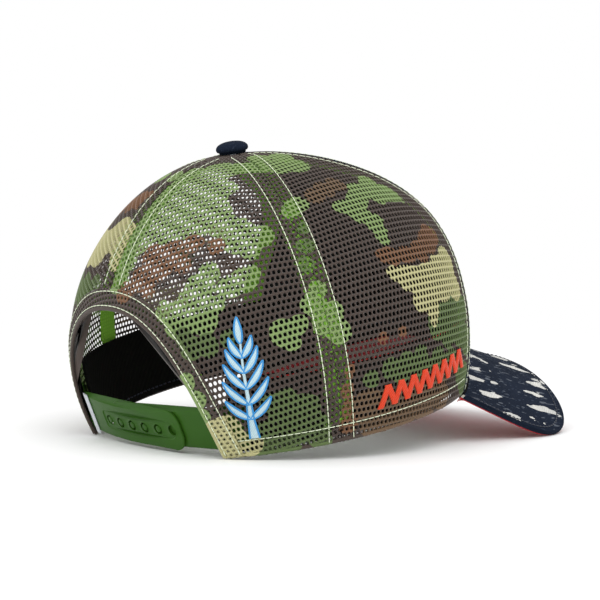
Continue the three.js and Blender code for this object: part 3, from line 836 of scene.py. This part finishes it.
def add_floor():
    """A pale floor that fades into the white surroundings."""
    mesh = bpy.data.meshes.new("floor")
    bm = bmesh.new()
    bmesh.ops.create_circle(bm, cap_ends=True, radius=1.2, segments=96)
    bm.to_mesh(mesh)
    bm.free()
    look = Look("floor", 0.9, Specular_IOR_Level=0.0)
    look.shader.inputs["Base Color"].default_value = (0.93, 0.93, 0.93, 1)
    away = look.vector("LENGTH", look.place(), output="Value")
    fade = look.math("MULTIPLY_ADD", away, 1 / 0.55, -0.3 / 0.55, clamp=True)
    clear = look.node("BsdfTransparent").outputs[0]
    blend = look.node("MixShader", {0: fade, 1: look.shader.outputs[0], 2: clear}).outputs[0]
    output = next(n for n in look.tree.nodes if n.type == "OUTPUT_MATERIAL")
    look.tree.links.new(blend, output.inputs["Surface"])
    mesh.materials.append(look.material)
    floor = bpy.data.objects.new("floor", mesh)
    bpy.context.scene.collection.objects.link(floor)


def add_surroundings():
    world = bpy.data.worlds.new("studio")
    bpy.context.scene.world = world
    world.use_nodes = True
    shade = world.node_tree.nodes["Background"]
    shade.inputs[0].default_value = (1, 1, 1, 1)
    shade.inputs[1].default_value = 1.0
    bpy.context.scene.view_settings.view_transform = "Standard"
    add_light("key", math.radians(250), math.radians(48), 1.6, 1.1, 9)
    add_light("fill", math.radians(190), math.radians(35), 1.8, 1.2, 4)
    add_floor()


add_camera()
add_surroundings()


# ---- Crown: net panels, front panel, seams ----

def net_panels():
    for side, sign, look in (("right", -1, NET_RIGHT), ("left", 1, NET_LEFT)):
        turn = -sign
        edges = [back_seam(-1), front_seam(-1)] if sign < 0 else [front_seam(1), back_seam(1)]
        net("net_side_" + side, gore(*edges), (12, 24), turn * SIDE_GRAIN, -0.4, 0.36, look,
            stands_for=["side_net_panel_" + side])
        middle = (lambda t: -centre_seam(t)) if sign < 0 else centre_seam
        edges = [middle, back_seam(-1)] if sign < 0 else [back_seam(1), middle]
        net("net_back_" + side, gore(*edges), (12, 24), turn * BACK_GRAIN, -0.4, 0.36, look, opening=True,
            stands_for=["back_net_panel_" + side])


def shell(name, surface, nu, nv, inner, outer, material, slot, **more):
    """A closed skin between two distances off surface(u, v, off)."""
    u, v = np.meshgrid(np.linspace(0, 1, nu + 1), np.linspace(0, 1, nv + 1), indexing="ij")
    out, back = surface(u, v, outer).reshape(-1, 3), surface(u, v, inner).reshape(-1, 3)
    flat = unfold(surface, 10, 10)
    i, j = u * 10, v * 10
    i0, j0 = np.minimum(i.astype(int), 9), np.minimum(j.astype(int), 9)
    a, b = (i - i0)[..., None], (j - j0)[..., None]
    cloth = (flat[i0, j0] * (1 - a) + flat[i0 + 1, j0] * a) * (1 - b)
    cloth = cloth + (flat[i0, j0 + 1] * (1 - a) + flat[i0 + 1, j0 + 1] * a) * b
    cloth = cloth.reshape(-1, 2)
    count = len(out)
    number = np.arange(count).reshape(nu + 1, nv + 1)
    quads = np.stack([number[:-1, :-1], number[1:, :-1], number[1:, 1:], number[:-1, 1:]], -1).reshape(-1, 4)
    faces = quads.tolist() + (quads[:, ::-1] + count).tolist()
    rim = np.concatenate([number[:, 0], number[-1, 1:], number[-2::-1, -1], number[0, -2:0:-1]])
    for p, q in zip(rim, np.roll(rim, -1)):
        faces.append((int(q), int(p), int(p) + count, int(q) + count))
    points = np.concatenate([out, back])
    return piece(name, points, faces, material, slot, cloth=np.concatenate([cloth, cloth]), sharp=50, **more)


def front_panel():
    face = gore(front_seam(-1), front_seam(1))
    shell("front_panel_cloth", face, 56, 48, -1.0, 0.0, FRONT_DENIM, "denim", stands_for=["front_panel"])
    shell("front_panel_buckram", face, 56, 48, -2.3, -1.5, BLACK, "backing", stands_for=["front_panel_backing"])


def seams():
    """Folded edges of net behind each seam, the green tape over them, and two rows of stitching outside."""
    above_arch = float(height_to_t(math.pi, ARCH_HEIGHT + ARCH_EDGE + 0.6))
    above_hem = float(height_to_t(BACK_SEAM, 8.6))
    places = [
        ("centre_back", centre_seam, above_arch, 6.2, "seam_tape_centre_back"),
        ("side_right", back_seam(-1), above_hem, 6.2, "seam_tape_side_right"),
        ("side_left", back_seam(1), above_hem, 6.2, "seam_tape_side_left"),
    ]
    for name, line, foot, half, node in places:
        look = NET_LEFT if name == "side_left" else NET_RIGHT
        start = foot if name == "centre_back" else 0.0
        zone = seam_zone(line, -half, half, start, 0.95)
        net("seam_fold_" + name, zone, (4, 30), math.radians(20), -1.15, 0.2, look, shift=0.4, hole=(0.98, 1.26))
        profile = band_profile(-6, 6, -2.0, -1.55, 8)
        ribbon("tape_" + name, along_seam(line), foot, 0.965, 70, profile, TAPE, "tape", stands_for=[node])
        rows = [seam_row(line, 5.4 * s, start, 0.945) for s in (-1, 1)]
        stitches("stitching_" + name, rows, 3.1, 2.85, 0.18, PALE_THREAD, "binding")
    for name, sign in (("front_right", -1), ("front_left", 1)):
        line = front_seam(sign)
        look = NET_RIGHT if sign < 0 else NET_LEFT
        low, high = (-6.4, -0.3) if sign < 0 else (0.3, 6.4)
        net("seam_fold_" + name, seam_zone(line, low, high, 0.0, 0.95), (3, 30), math.radians(20), -1.15, 0.2,
            look, shift=0.4, hole=(0.98, 1.26))
        profile = band_profile(-6, 6, -3.6, -3.2, 8)
        ribbon("tape_" + name, along_seam(line), above_hem, 0.965, 70, profile, TAPE, "tape",
               stands_for=["seam_tape_" + name])
        rows = [seam_row(line, 4.6 * sign, 0.06, 0.945), seam_row(line, -2.2 * sign, 0.0, 0.945)]
        stitches("stitching_" + name, rows, 3.1, 2.85, 0.18, PALE_THREAD, "binding")


def rear_opening():
    """The opening's edge: net folded round it outside, green tape inside, two rows of stitching."""
    def edge_zone(u, v, off):
        return arch(ARCH_FOOT + (1 - 2 * ARCH_FOOT) * (1 - u), ARCH_EDGE * v, off)

    net("arch_fold", edge_zone, (48, 3), math.radians(8), 0.55, 0.25, NET_RIGHT, pitch=(2.2, 2.4),
        hole=(0.5, 0.55), stands_for=["arch_binding"])
    turn = np.linspace(0, 2 * math.pi, 10, endpoint=False)
    lip = np.stack([0.45 + 0.95 * np.cos(turn), -0.1 + 0.95 * np.sin(turn)], -1)
    ribbon("arch_lip", arch, ARCH_FOOT, 1 - ARCH_FOOT, 150, lip, NET_RIGHT, "binding")
    rise = math.asin((24 / ARCH_HEIGHT) ** (ARCH_FULL / 2)) / math.pi
    ribbon("arch_tape_inside", arch, rise, 1 - rise, 120, band_profile(0.6, 7.6, -2.0, -1.55, 6), TAPE, "tape",
           stands_for=["arch_tape"])
    rows = [arch_row(1.5, 0.8), arch_row(7.4, 0.8)]
    stitches("stitching_arch", rows, 3.1, 2.85, 0.18, PALE_THREAD, "binding")


def hem():
    """The rim's hem: the net folded inwards over 8 mm, with a rolled lower edge and one row of stitching."""
    foot_angle = math.degrees(float(back_angle(ARCH_HALF, 0.9)))
    for side, sign, look in (("right", -1, NET_RIGHT), ("left", 1, NET_LEFT)):
        ends = sorted([sign * 61.5, sign * (foot_angle - 0.4)])
        inner = sorted([sign * 62.0, sign * 136.5])

        def fold(u, v, off, a=math.radians(inner[0]), b=math.radians(inner[1])):
            return along_rim(a + (b - a) * u, 0.6 + 7.8 * v, off)

        net("hem_net_" + side, fold, (30, 3), 0.0, -1.75, 0.22, look, shift=0.3, stands_for=["hem_fold_" + side])
        turn = np.linspace(0, 2 * math.pi, 10, endpoint=False)
        roll = np.stack([0.95 + 0.9 * np.cos(turn), -0.75 + 0.95 * np.sin(turn)], -1)
        ribbon("hem_roll_" + side, along_rim, *np.radians(ends), 90, roll, look, "binding")
        stitches("stitching_hem_" + side, [rim_row(*ends, 8.2)], 3.1, 2.85, 0.18, PALE_THREAD, "binding")


def sweatband():
    end = math.radians(142.5)
    profile = band_profile(1.0, 35.5, -5.2, -4.05, 12)
    ribbon("sweatband_twill", along_rim, -end, end, 160, profile, BAND, "band", stands_for=["sweatband"])
    top_row, low_row = rim_row(-142, 142, 34.2, -4.0, 500), rim_row(-142, 142, 3.5, -5.25, 500)
    stitches("stitching_band", [top_row], 3.4, 2.6, 0.32, RED_THREAD, "band")
    flipped = (low_row[0], -low_row[1])
    stitches("stitching_band_inside", [flipped], 3.0, 2.4, 0.28, NAVY_THREAD, "band")

    def under_rim(angle, drop, off):
        return along_rim(angle, 0.3, off) - np.multiply.outer(drop, (0, 0, 1))

    wedge = np.array([(-1.2, -5.0), (-1.2, -4.1), (0.35, -3.8), (0.35, 0.5), (3.4, 0.6), (3.8, 0.1), (3.4, -2.4),
                      (1.6, -5.0)])
    reach = math.radians(59)
    ribbon("visor_seam_allowance", under_rim, -reach, reach, 90, wedge, BAND, "band")


# ---- Visor ----

def visor(u, v, off):
    u, v, off = np.broadcast_arrays(*(np.asarray(a, float) for a in (u, v, off)))
    side = -np.cos(math.pi * u)
    angle = side * LIFT_ANGLE
    root_x = HALF_WIDTH * np.sin(angle) * VISOR_ROOT_SPREAD
    root_y = -FRONT_LENGTH * np.cos(angle) * VISOR_ROOT_SPREAD
    turn = side * math.pi / 2
    power = 2 / VISOR_FULL
    sideways = np.abs(np.sin(turn))
    edge_x = VISOR_HALF * np.sign(side) * sideways ** power * (1 - VISOR_TUCK * sideways ** VISOR_TUCK_POWER)
    edge_y = VISOR_SHOULDER - VISOR_REACH * np.abs(np.cos(turn)) ** power
    x, y = root_x + (edge_x - root_x) * v, root_y + (edge_y - root_y) * v
    settle = rim_lift(angle) - VISOR_ROOT_CLEAR - visor_height(root_x, root_y)
    z = visor_height(x, y) + settle * np.clip(1 - v, 0, 1) ** 2
    ahead = -y - FRONT_LENGTH
    tilt = 2 * VISOR_HOLLOW * ahead - VISOR_SLOPE
    normal = unit(np.stack([2 * VISOR_CROSS * x, tilt, np.ones_like(x)], -1))
    return np.stack([x, y, z], -1) + normal * off[..., None]


def visor_pieces():
    shell("visor_cloth_top", visor, 96, 36, -0.7, 0.0, VISOR_DENIM, "denim", stands_for=["visor_top_fabric"])
    shell("visor_stiffener", visor, 64, 20, -2.4, -0.8, BOARD, "board", stands_for=["visor_board"])
    shell("visor_cloth_under", visor, 96, 36, -3.2, -2.5, RED, "red_twill", stands_for=["visor_under_fabric"])

    def edge(u, across, off):
        return visor(u, 1 + across / 60, off)

    turn = np.linspace(0, 2 * math.pi, 14, endpoint=False)
    rounded = np.stack([-0.5 + 1.4 * np.cos(turn), -1.35 + 1.5 * np.sin(turn)], -1)
    ribbon("visor_edge", edge, 0.0, 1.0, 200, rounded, PLAIN_DENIM, "denim")
    rows = []
    for inset in (0.93,):
        u = np.linspace(0.03, 0.97, 300)
        low, high = visor(u, inset, 0.05), visor(u, inset, 1.05)
        rows.append((low, high - low))
    stitches("stitching_visor", rows, 3.0, 2.4, 0.25, NAVY_THREAD, "denim")


# ---- Button ----

def turned_piece(name, profile, base, material, slot, segments=48, **more):
    """A closed shape turned about the cap's upright middle line, from the bottom pole to the top one."""
    turn = np.linspace(0, 2 * math.pi, segments, endpoint=False)
    rings = [
        np.stack([r * np.cos(turn), r * np.sin(turn), np.full(segments, z)], -1) for r, z in profile[1:-1]
    ]
    low, high = profile[0][1], profile[-1][1]
    points = np.concatenate([*rings, [[0, 0, low]], [[0, 0, high]]]) + base
    faces = tube_faces(len(rings), segments, capped=False)
    last = (len(rings) - 1) * segments
    bottom, top = len(rings) * segments, len(rings) * segments + 1
    for i in range(segments):
        j = (i + 1) % segments
        faces.append((bottom, j, i))
        faces.append((top, last + i, last + j))
    cloth = points[:, :2] - base[:2]
    return piece(name, points, faces, material, slot, cloth=cloth, **more)


def button():
    base = np.array([0, TOP_Y, HEIGHT])
    dome = [(0, 0.1), (6.2, 0.1), (6.4, 0.9), (7.1, 1.1), (7.55, 1.7), (7.65, 2.3)]
    for i in range(1, 14):
        turn = i / 14 * math.pi / 2
        dome.append((7.65 * math.cos(turn) ** 0.9, 2.3 + 3.5 * math.sin(turn) ** 0.9))
    dome.append((0, 5.8))
    turned_piece("button_cloth", dome, base, PLAIN_DENIM, "denim", stands_for=["top_button"])
    rivet = [(0, -5.3), (5.6, -5.3), (6.3, -5.1), (6.4, -4.7), (6.2, -4.3), (1.4, -4.2), (1.4, -1.5), (1.3, 0.0),
             (0, 0.05)]
    turned_piece("button_rivet", rivet, base, METAL, "metal", stands_for=["top_button_rivet"], sharp=40)


# ---- Snapback closure ----

STRAP_TURN = math.asin(STRAP_HALF_CHORD / STRAP_RADIUS)
ARC_LENGTH = 2 * STRAP_TURN * STRAP_RADIUS


def strap(reach, height, off):
    """A point of the closure: reach along the arc from the left root, height up the strap, off outwards."""
    reach, height, off = np.broadcast_arrays(*(np.asarray(a, float) for a in (reach, height, off)))
    turn = STRAP_TURN - reach / STRAP_RADIUS
    x = (STRAP_RADIUS + off) * np.sin(turn)
    y = (STRAP_RADIUS + off) * np.cos(turn) - STRAP_RADIUS * math.cos(STRAP_TURN)
    c, s = math.cos(STRAP_LEAN), math.sin(STRAP_LEAN)
    return np.stack([x, y * c + height * s, -y * s + height * c], -1) + STRAP_ROOT


def blade_outline(length, inset, corner=7.0, start=0.0):
    """Outline of a strap with a rounded free end, as (reach, height)."""
    low, high, end, round_by = inset, STRAP_HEIGHT - inset, length - inset, max(corner - inset, 0.5)
    points = [(start, low)]
    for i in range(9):
        a = -math.pi / 2 + i / 8 * math.pi / 2
        points.append((end - round_by + round_by * math.cos(a), low + round_by + round_by * math.sin(a)))
    for i in range(9):
        a = i / 8 * math.pi / 2
        points.append((end - round_by + round_by * math.cos(a), high - round_by + round_by * math.sin(a)))
    points.append((start, high))
    return points


def field_outline(length, inset):
    """The sunk field round the snap holes: straight sides, round ends."""
    low, high = STRAP_HEIGHT / 2 - 4.6 + inset, STRAP_HEIGHT / 2 + 4.6 - inset
    left, right = FIRST_HOLE - 5.2 + inset, length - 3.4 - inset
    round_by = (high - low) / 2
    points = []
    for i in range(13):
        a = -math.pi / 2 + i / 12 * math.pi
        points.append((right - round_by + round_by * math.cos(a), low + round_by + round_by * math.sin(a)))
    for i in range(5):
        a = math.pi / 2 + i / 4 * math.pi / 2
        points.append((left + 2 + 2 * math.cos(a), high - 2 + 2 * math.sin(a)))
    for i in range(5):
        a = math.pi + i / 4 * math.pi / 2
        points.append((left + 2 + 2 * math.cos(a), low + 2 + 2 * math.sin(a)))
    return points


def circle(reach, radius, count=20):
    return [
        (reach + radius * math.cos(turn), STRAP_HEIGHT / 2 + radius * math.sin(turn))
        for turn in (2 * math.pi * i / count for i in range(count))
    ]


def within(loop, spots):
    """Which flat spots lie inside a closed loop."""
    loop = np.asarray(loop)
    x, y = spots[:, 0], spots[:, 1]
    inside = np.zeros(len(spots), bool)
    for (x0, y0), (x1, y1) in zip(loop, np.roll(loop, -1, axis=0)):
        crosses = (y0 > y) != (y1 > y)
        slope = (x1 - x0) * (y - y0) / ((y1 - y0) or 1e-9) + x0
        inside ^= crosses & (x < slope)
    return inside


def blade(length, faces_off, holes, mirrored):
    """A moulded strap: rounded edges, a sunk field round the holes, and the holes themselves."""
    bevel, sunk = 0.28, 0.38
    low_off, high_off = faces_off
    edge, rim = blade_outline(length, 0.0), blade_outline(length, bevel)
    field, floor = field_outline(length, 0.0), field_outline(length, 0.35)
    hole_loops = [circle(r, HOLE_RADIUS) for r in holes]
    collars = [circle(r, HOLE_RADIUS + 0.55) for r in holes]
    fixed = [rim] + ([field, floor] if holes else []) + hole_loops + collars
    grid = [(x, y) for x in np.arange(1.5, length, 2.4) for y in np.arange(1.4, STRAP_HEIGHT, 2.2)]
    spots = np.array(grid)
    clear = within(rim, spots)
    for loop in fixed:
        gap = np.min(np.linalg.norm(spots[:, None] - np.asarray(loop)[None], axis=-1), axis=1)
        clear &= gap > 0.7
    for r in holes:
        clear &= np.hypot(spots[:, 0] - r, spots[:, 1] - STRAP_HEIGHT / 2) > HOLE_RADIUS + 0.9
    points, edges = [], []
    for loop in fixed:
        base = len(points)
        points += loop
        edges += [(base + i, base + (i + 1) % len(loop)) for i in range(len(loop))]
    points += [tuple(p) for p in spots[clear]]
    flat, _, tris, *_ = delaunay_2d_cdt([Vector(p) for p in points], edges, [], 0, 1e-4)
    flat = np.array([tuple(p) for p in flat])
    tris = [t for t in tris]
    middle = np.array([flat[list(t)].mean(0) for t in tris])
    keep = within(rim, middle)
    for r in holes:
        keep &= np.hypot(middle[:, 0] - r, middle[:, 1] - STRAP_HEIGHT / 2) > HOLE_RADIUS - 0.06
    tris = [t for t, k in zip(tris, keep) if k]
    used = sorted({i for t in tris for i in t})
    number = {old: new for new, old in enumerate(used)}
    flat = flat[used]
    tris = [tuple(number[i] for i in t) for t in tris]
    def slimmed(reach):
        return 0.0 if mirrored else 0.75 * np.clip(1 - reach / 5, 0, 1)

    front_off = high_off - slimmed(flat[:, 0]) + np.zeros(len(flat))
    if holes:
        front_off -= sunk * within(field_outline(length, 0.2), flat)
        for r in holes:
            away = np.hypot(flat[:, 0] - r, flat[:, 1] - STRAP_HEIGHT / 2)
            front_off += 0.22 * (away < HOLE_RADIUS + 0.3)
    count = len(flat)

    def place(spots, off):
        reach, height = spots[:, 0], spots[:, 1]
        if mirrored:
            reach = ARC_LENGTH - reach
        return strap(reach, height, off)

    body_points = [place(flat, front_off), place(flat, np.full(count, low_off))]
    faces = [t for t in tris] + [tuple(i + count for i in t[::-1]) for t in tris]
    total = 2 * count
    sides = {}
    for t in tris:
        for a, b in zip(t, t[1:] + t[:1]):
            sides[(a, b)] = sides.get((a, b), 0) + 1
    border = [(a, b) for a, b in sides if (b, a) not in sides]
    on_rim = {i for pair in border for i in pair}
    outer_ring = {}
    extra = []
    rim_loop, edge_loop = np.array(rim), np.array(edge)
    for i in sorted(on_rim):
        near = np.linalg.norm(rim_loop - flat[i], axis=1)
        if near.min() < 0.02:
            outer_ring[i] = total + len(extra)
            spot = edge_loop[near.argmin()]
            extra.append((spot, high_off - bevel - slimmed(spot[0])))
            extra.append((edge_loop[near.argmin()], low_off + bevel))
    for a, b in border:
        if a in outer_ring and b in outer_ring:
            p, q = outer_ring[a], outer_ring[b]
            faces += [(b, a, p, q), (q, p, p + 1, q + 1), (q + 1, p + 1, a + count, b + count)]
        else:
            faces.append((b, a, a + count, b + count))
    if extra:
        spot = np.array([e[0] for e in extra])
        body_points.append(place(spot, np.array([e[1] for e in extra])))
    points = np.concatenate(body_points)
    return points, faces


def snaps():
    """The two straps, the pegs on the inner one, and the label over the outer one's root."""
    holes = [FIRST_HOLE + i * HOLE_PITCH for i in range(HOLES)]
    points, faces = blade(OUTER_LENGTH, (0.3, 1.5), holes, False)
    piece("strap_blade_outer", points, faces, STRAP, "strap", body=OUTER, stands_for=["strap_outer"], sharp=35)
    points, faces = blade(INNER_LENGTH, (-1.2, 0.0), [], True)
    peg_points, peg_faces = [points], list(faces)
    total = len(points)
    for i in range(1, PEGS + 1):
        reach = FIRST_HOLE + i * HOLE_PITCH
        turn = np.linspace(0, 2 * math.pi, 20, endpoint=False)
        rings = [(PEG_RADIUS + 0.25, -0.05), (PEG_RADIUS, 0.2), (PEG_RADIUS, 0.85), (PEG_RADIUS - 0.15, 1.15),
                 (PEG_RADIUS - 0.5, 1.3), (0.35, 1.32)]
        loops = [
            strap(ARC_LENGTH - reach + r * np.cos(turn), STRAP_HEIGHT / 2 + r * np.sin(turn), off)
            for r, off in rings
        ]
        peg_points.append(np.concatenate(loops))
        peg_faces += tube_faces(len(rings), 20, total)
        total += len(rings) * 20
    piece("strap_blade_inner", np.concatenate(peg_points), peg_faces, STRAP, "strap", body=INNER,
          stands_for=["strap_inner"], sharp=35)

    def upright(height, across, off):
        return strap(across, height, off)

    folded = np.array([(2.5, 1.5), (2.6, 1.62), (3.6, 1.95), (4.8, 2.15), (6.4, 2.22), (7.8, 2.2), (8.4, 2.1),
                       (8.5, 1.9), (8.4, 1.7), (6.0, 1.6), (3.6, 1.55)])
    ribbon("root_label", upright, 0.0, STRAP_HEIGHT, 24, folded, LABEL, "label", body=OUTER,
           stands_for=["strap_label"])
    for side in ("left", "right"):
        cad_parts["strap_anchor_" + side].data.materials.clear()
        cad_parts["strap_anchor_" + side].data.materials.append(STRAP)


# ---- Embroidery ----

def on_net(degrees, across, height, off):
    """A point across millimetres beside an upright line of the crown, at a height above the rim."""
    angle = math.radians(degrees)
    t = height_to_t(angle, height)
    turned = angle + across / radius_at(angle, t)
    return crown(turned, height_to_t(turned, height), off)


def satin(place, left, right, rise, base=0.15, pitch=0.42):
    """Satin stitching: threads laid side by side from a left edge to a right edge, as closed small tubes."""
    gaps = np.linalg.norm(np.diff((left + right) / 2, axis=0), axis=1)
    run = np.concatenate([[0], np.cumsum(gaps)])
    points, faces = [], []
    ring, turn = 6, np.linspace(0, 2 * math.pi, 6, endpoint=False)
    share = np.array([0.0, 0.12, 0.5, 0.88, 1.0])
    total = 0
    for at in np.arange(pitch / 2, run[-1], pitch):
        a = np.array([np.interp(at, run, left[:, k]) for k in (0, 1)])
        b = np.array([np.interp(at, run, right[:, k]) for k in (0, 1)])
        if np.linalg.norm(b - a) < 0.5:
            continue
        middle = a + (b - a) * share[:, None]
        direction = (b - a) / np.linalg.norm(b - a)
        side = np.array([-direction[1], direction[0]])
        up = base + rise * np.array([0.0, 0.62, 1.0, 0.62, 0.0])
        fat = np.array([0.5, 1.0, 1.0, 1.0, 0.5]) * pitch * 0.56
        for k in range(5):
            spot = middle[k] + side * (np.cos(turn) * fat[k])[:, None]
            points.append(place(spot[:, 0], spot[:, 1], up[k] + np.sin(turn) * fat[k] * 0.8))
        faces += tube_faces(5, ring, total)
        total += 5 * ring
    return points, faces


def joined(parts):
    points, faces, total = [], [], 0
    for got, quads in parts:
        got = np.concatenate(got)
        points.append(got)
        faces += [tuple(i + total for i in q) for q in quads]
        total += len(got)
    return np.concatenate(points), faces


def leaf(root, tip, width, bend, steps=40):
    """Both edges of a curved lance-shaped leaf."""
    root, tip = np.array(root, float), np.array(tip, float)
    s = np.linspace(0, 1, steps)[:, None]
    axis = tip - root
    side = np.array([-axis[1], axis[0]]) / np.linalg.norm(axis)
    middle = root + axis * s + side * bend * np.sin(math.pi * s)
    slope = np.gradient(middle, axis=0)
    slope = slope / np.linalg.norm(slope, axis=1, keepdims=True)
    out = np.stack([-slope[:, 1], slope[:, 0]], -1)
    half = width / 2 * np.sin(math.pi * np.clip(s, 0.0, 1.0) ** 0.8) ** 0.75
    return middle + out * half, middle - out * half


def outline_band(line, width):
    slope = np.gradient(line, axis=0)
    slope = slope / np.maximum(np.linalg.norm(slope, axis=1, keepdims=True), 1e-9)
    out = np.stack([-slope[:, 1], slope[:, 0]], -1)
    return line + out * width / 2, line - out * width / 2


SPRIG_ANGLE, SPRIG_FOOT = -136.6, 9.0
# Pairs of leaves up the stem, as (height of the root, length, lean from upright in degrees), and the end leaf.
LEAF_PAIRS = [(9.0, 13.0, 46), (15.5, 14.5, 40), (22.5, 14.0, 35), (29.5, 12.5, 31), (36.0, 10.0, 27)]
LEAVES = [
    ((0.0, foot), (side * length * math.sin(math.radians(lean)), foot + length * math.cos(math.radians(lean))),
     2.7, -side * 0.9)
    for foot, length, lean in LEAF_PAIRS for side in (-1, 1)
] + [((0.0, 42.0), (-0.4, 53.0), 3.0, 0.2)]


def sprig():
    """A leaf sprig: pale satin leaves on a stem, each with a blue satin edge."""
    def place(x, y, off):
        return on_net(SPRIG_ANGLE, x, SPRIG_FOOT + y, off)

    fills, edges = [], []
    stem = np.array([(0.3, 0.0), (0.0, 8.0), (0.1, 18.0), (-0.2, 30.0), (0.0, 43.0)])
    s = np.linspace(0, 1, 60)
    run = np.linspace(0, 1, len(stem))
    middle = np.stack([np.interp(s, run, stem[:, 0]), np.interp(s, run, stem[:, 1])], -1)
    half = (0.5 + 1.5 * (1 - s) ** 2)[:, None]
    out = np.array([1.0, 0.0])
    fills.append(satin(place, middle - out * half, middle + out * half, 0.45))
    for edge in (middle - out * half, middle + out * half):
        edges.append(satin(place, *outline_band(edge[:28], 0.8), 0.4, 0.3, 0.4))
    for root, tip, width, bend in LEAVES:
        left, right = leaf(root, tip, width, bend)
        fills.append(satin(place, left, right, 0.4))
        loop = np.concatenate([left, right[::-1]])
        edges.append(satin(place, *outline_band(loop, 0.8), 0.4, 0.3, 0.4))
    points, faces = joined(fills)
    piece("sprig_fill", points, faces, ICE_THREAD, "blue_thread", stands_for=["sprig_embroidery"])
    points, faces = joined(edges)
    piece("sprig_edge", points, faces, BLUE_THREAD, "blue_thread")


def zigzag():
    """A bold satin zigzag that climbs towards the visor."""
    def place(x, y, off):
        return on_net(-84, x, 18.4 + y, off)

    turns, length, rise, swing, thick = 16, 58.0, 4.0, 4.4, 3.3
    corner = np.array([
        ((i / turns - 0.5) * length, (i / turns - 0.5) * rise + (swing if i % 2 else -swing))
        for i in range(turns + 1)
    ])
    parts = []
    for a, b in zip(corner, corner[1:]):
        s = np.linspace(-0.06, 1.06, 20)[:, None]
        line = a + (b - a) * s
        shift = np.array([thick / 2, 0.0])
        parts.append(satin(place, line - shift, line + shift, 0.5, 0.2, 0.45))
    points, faces = joined(parts)
    piece("zigzag_satin", points, faces, ORANGE_THREAD, "orange_thread", stands_for=["zigzag_embroidery"])


net_panels()
front_panel()
seams()
rear_opening()
hem()
sweatband()
visor_pieces()
button()
snaps()
sprig()
zigzag()
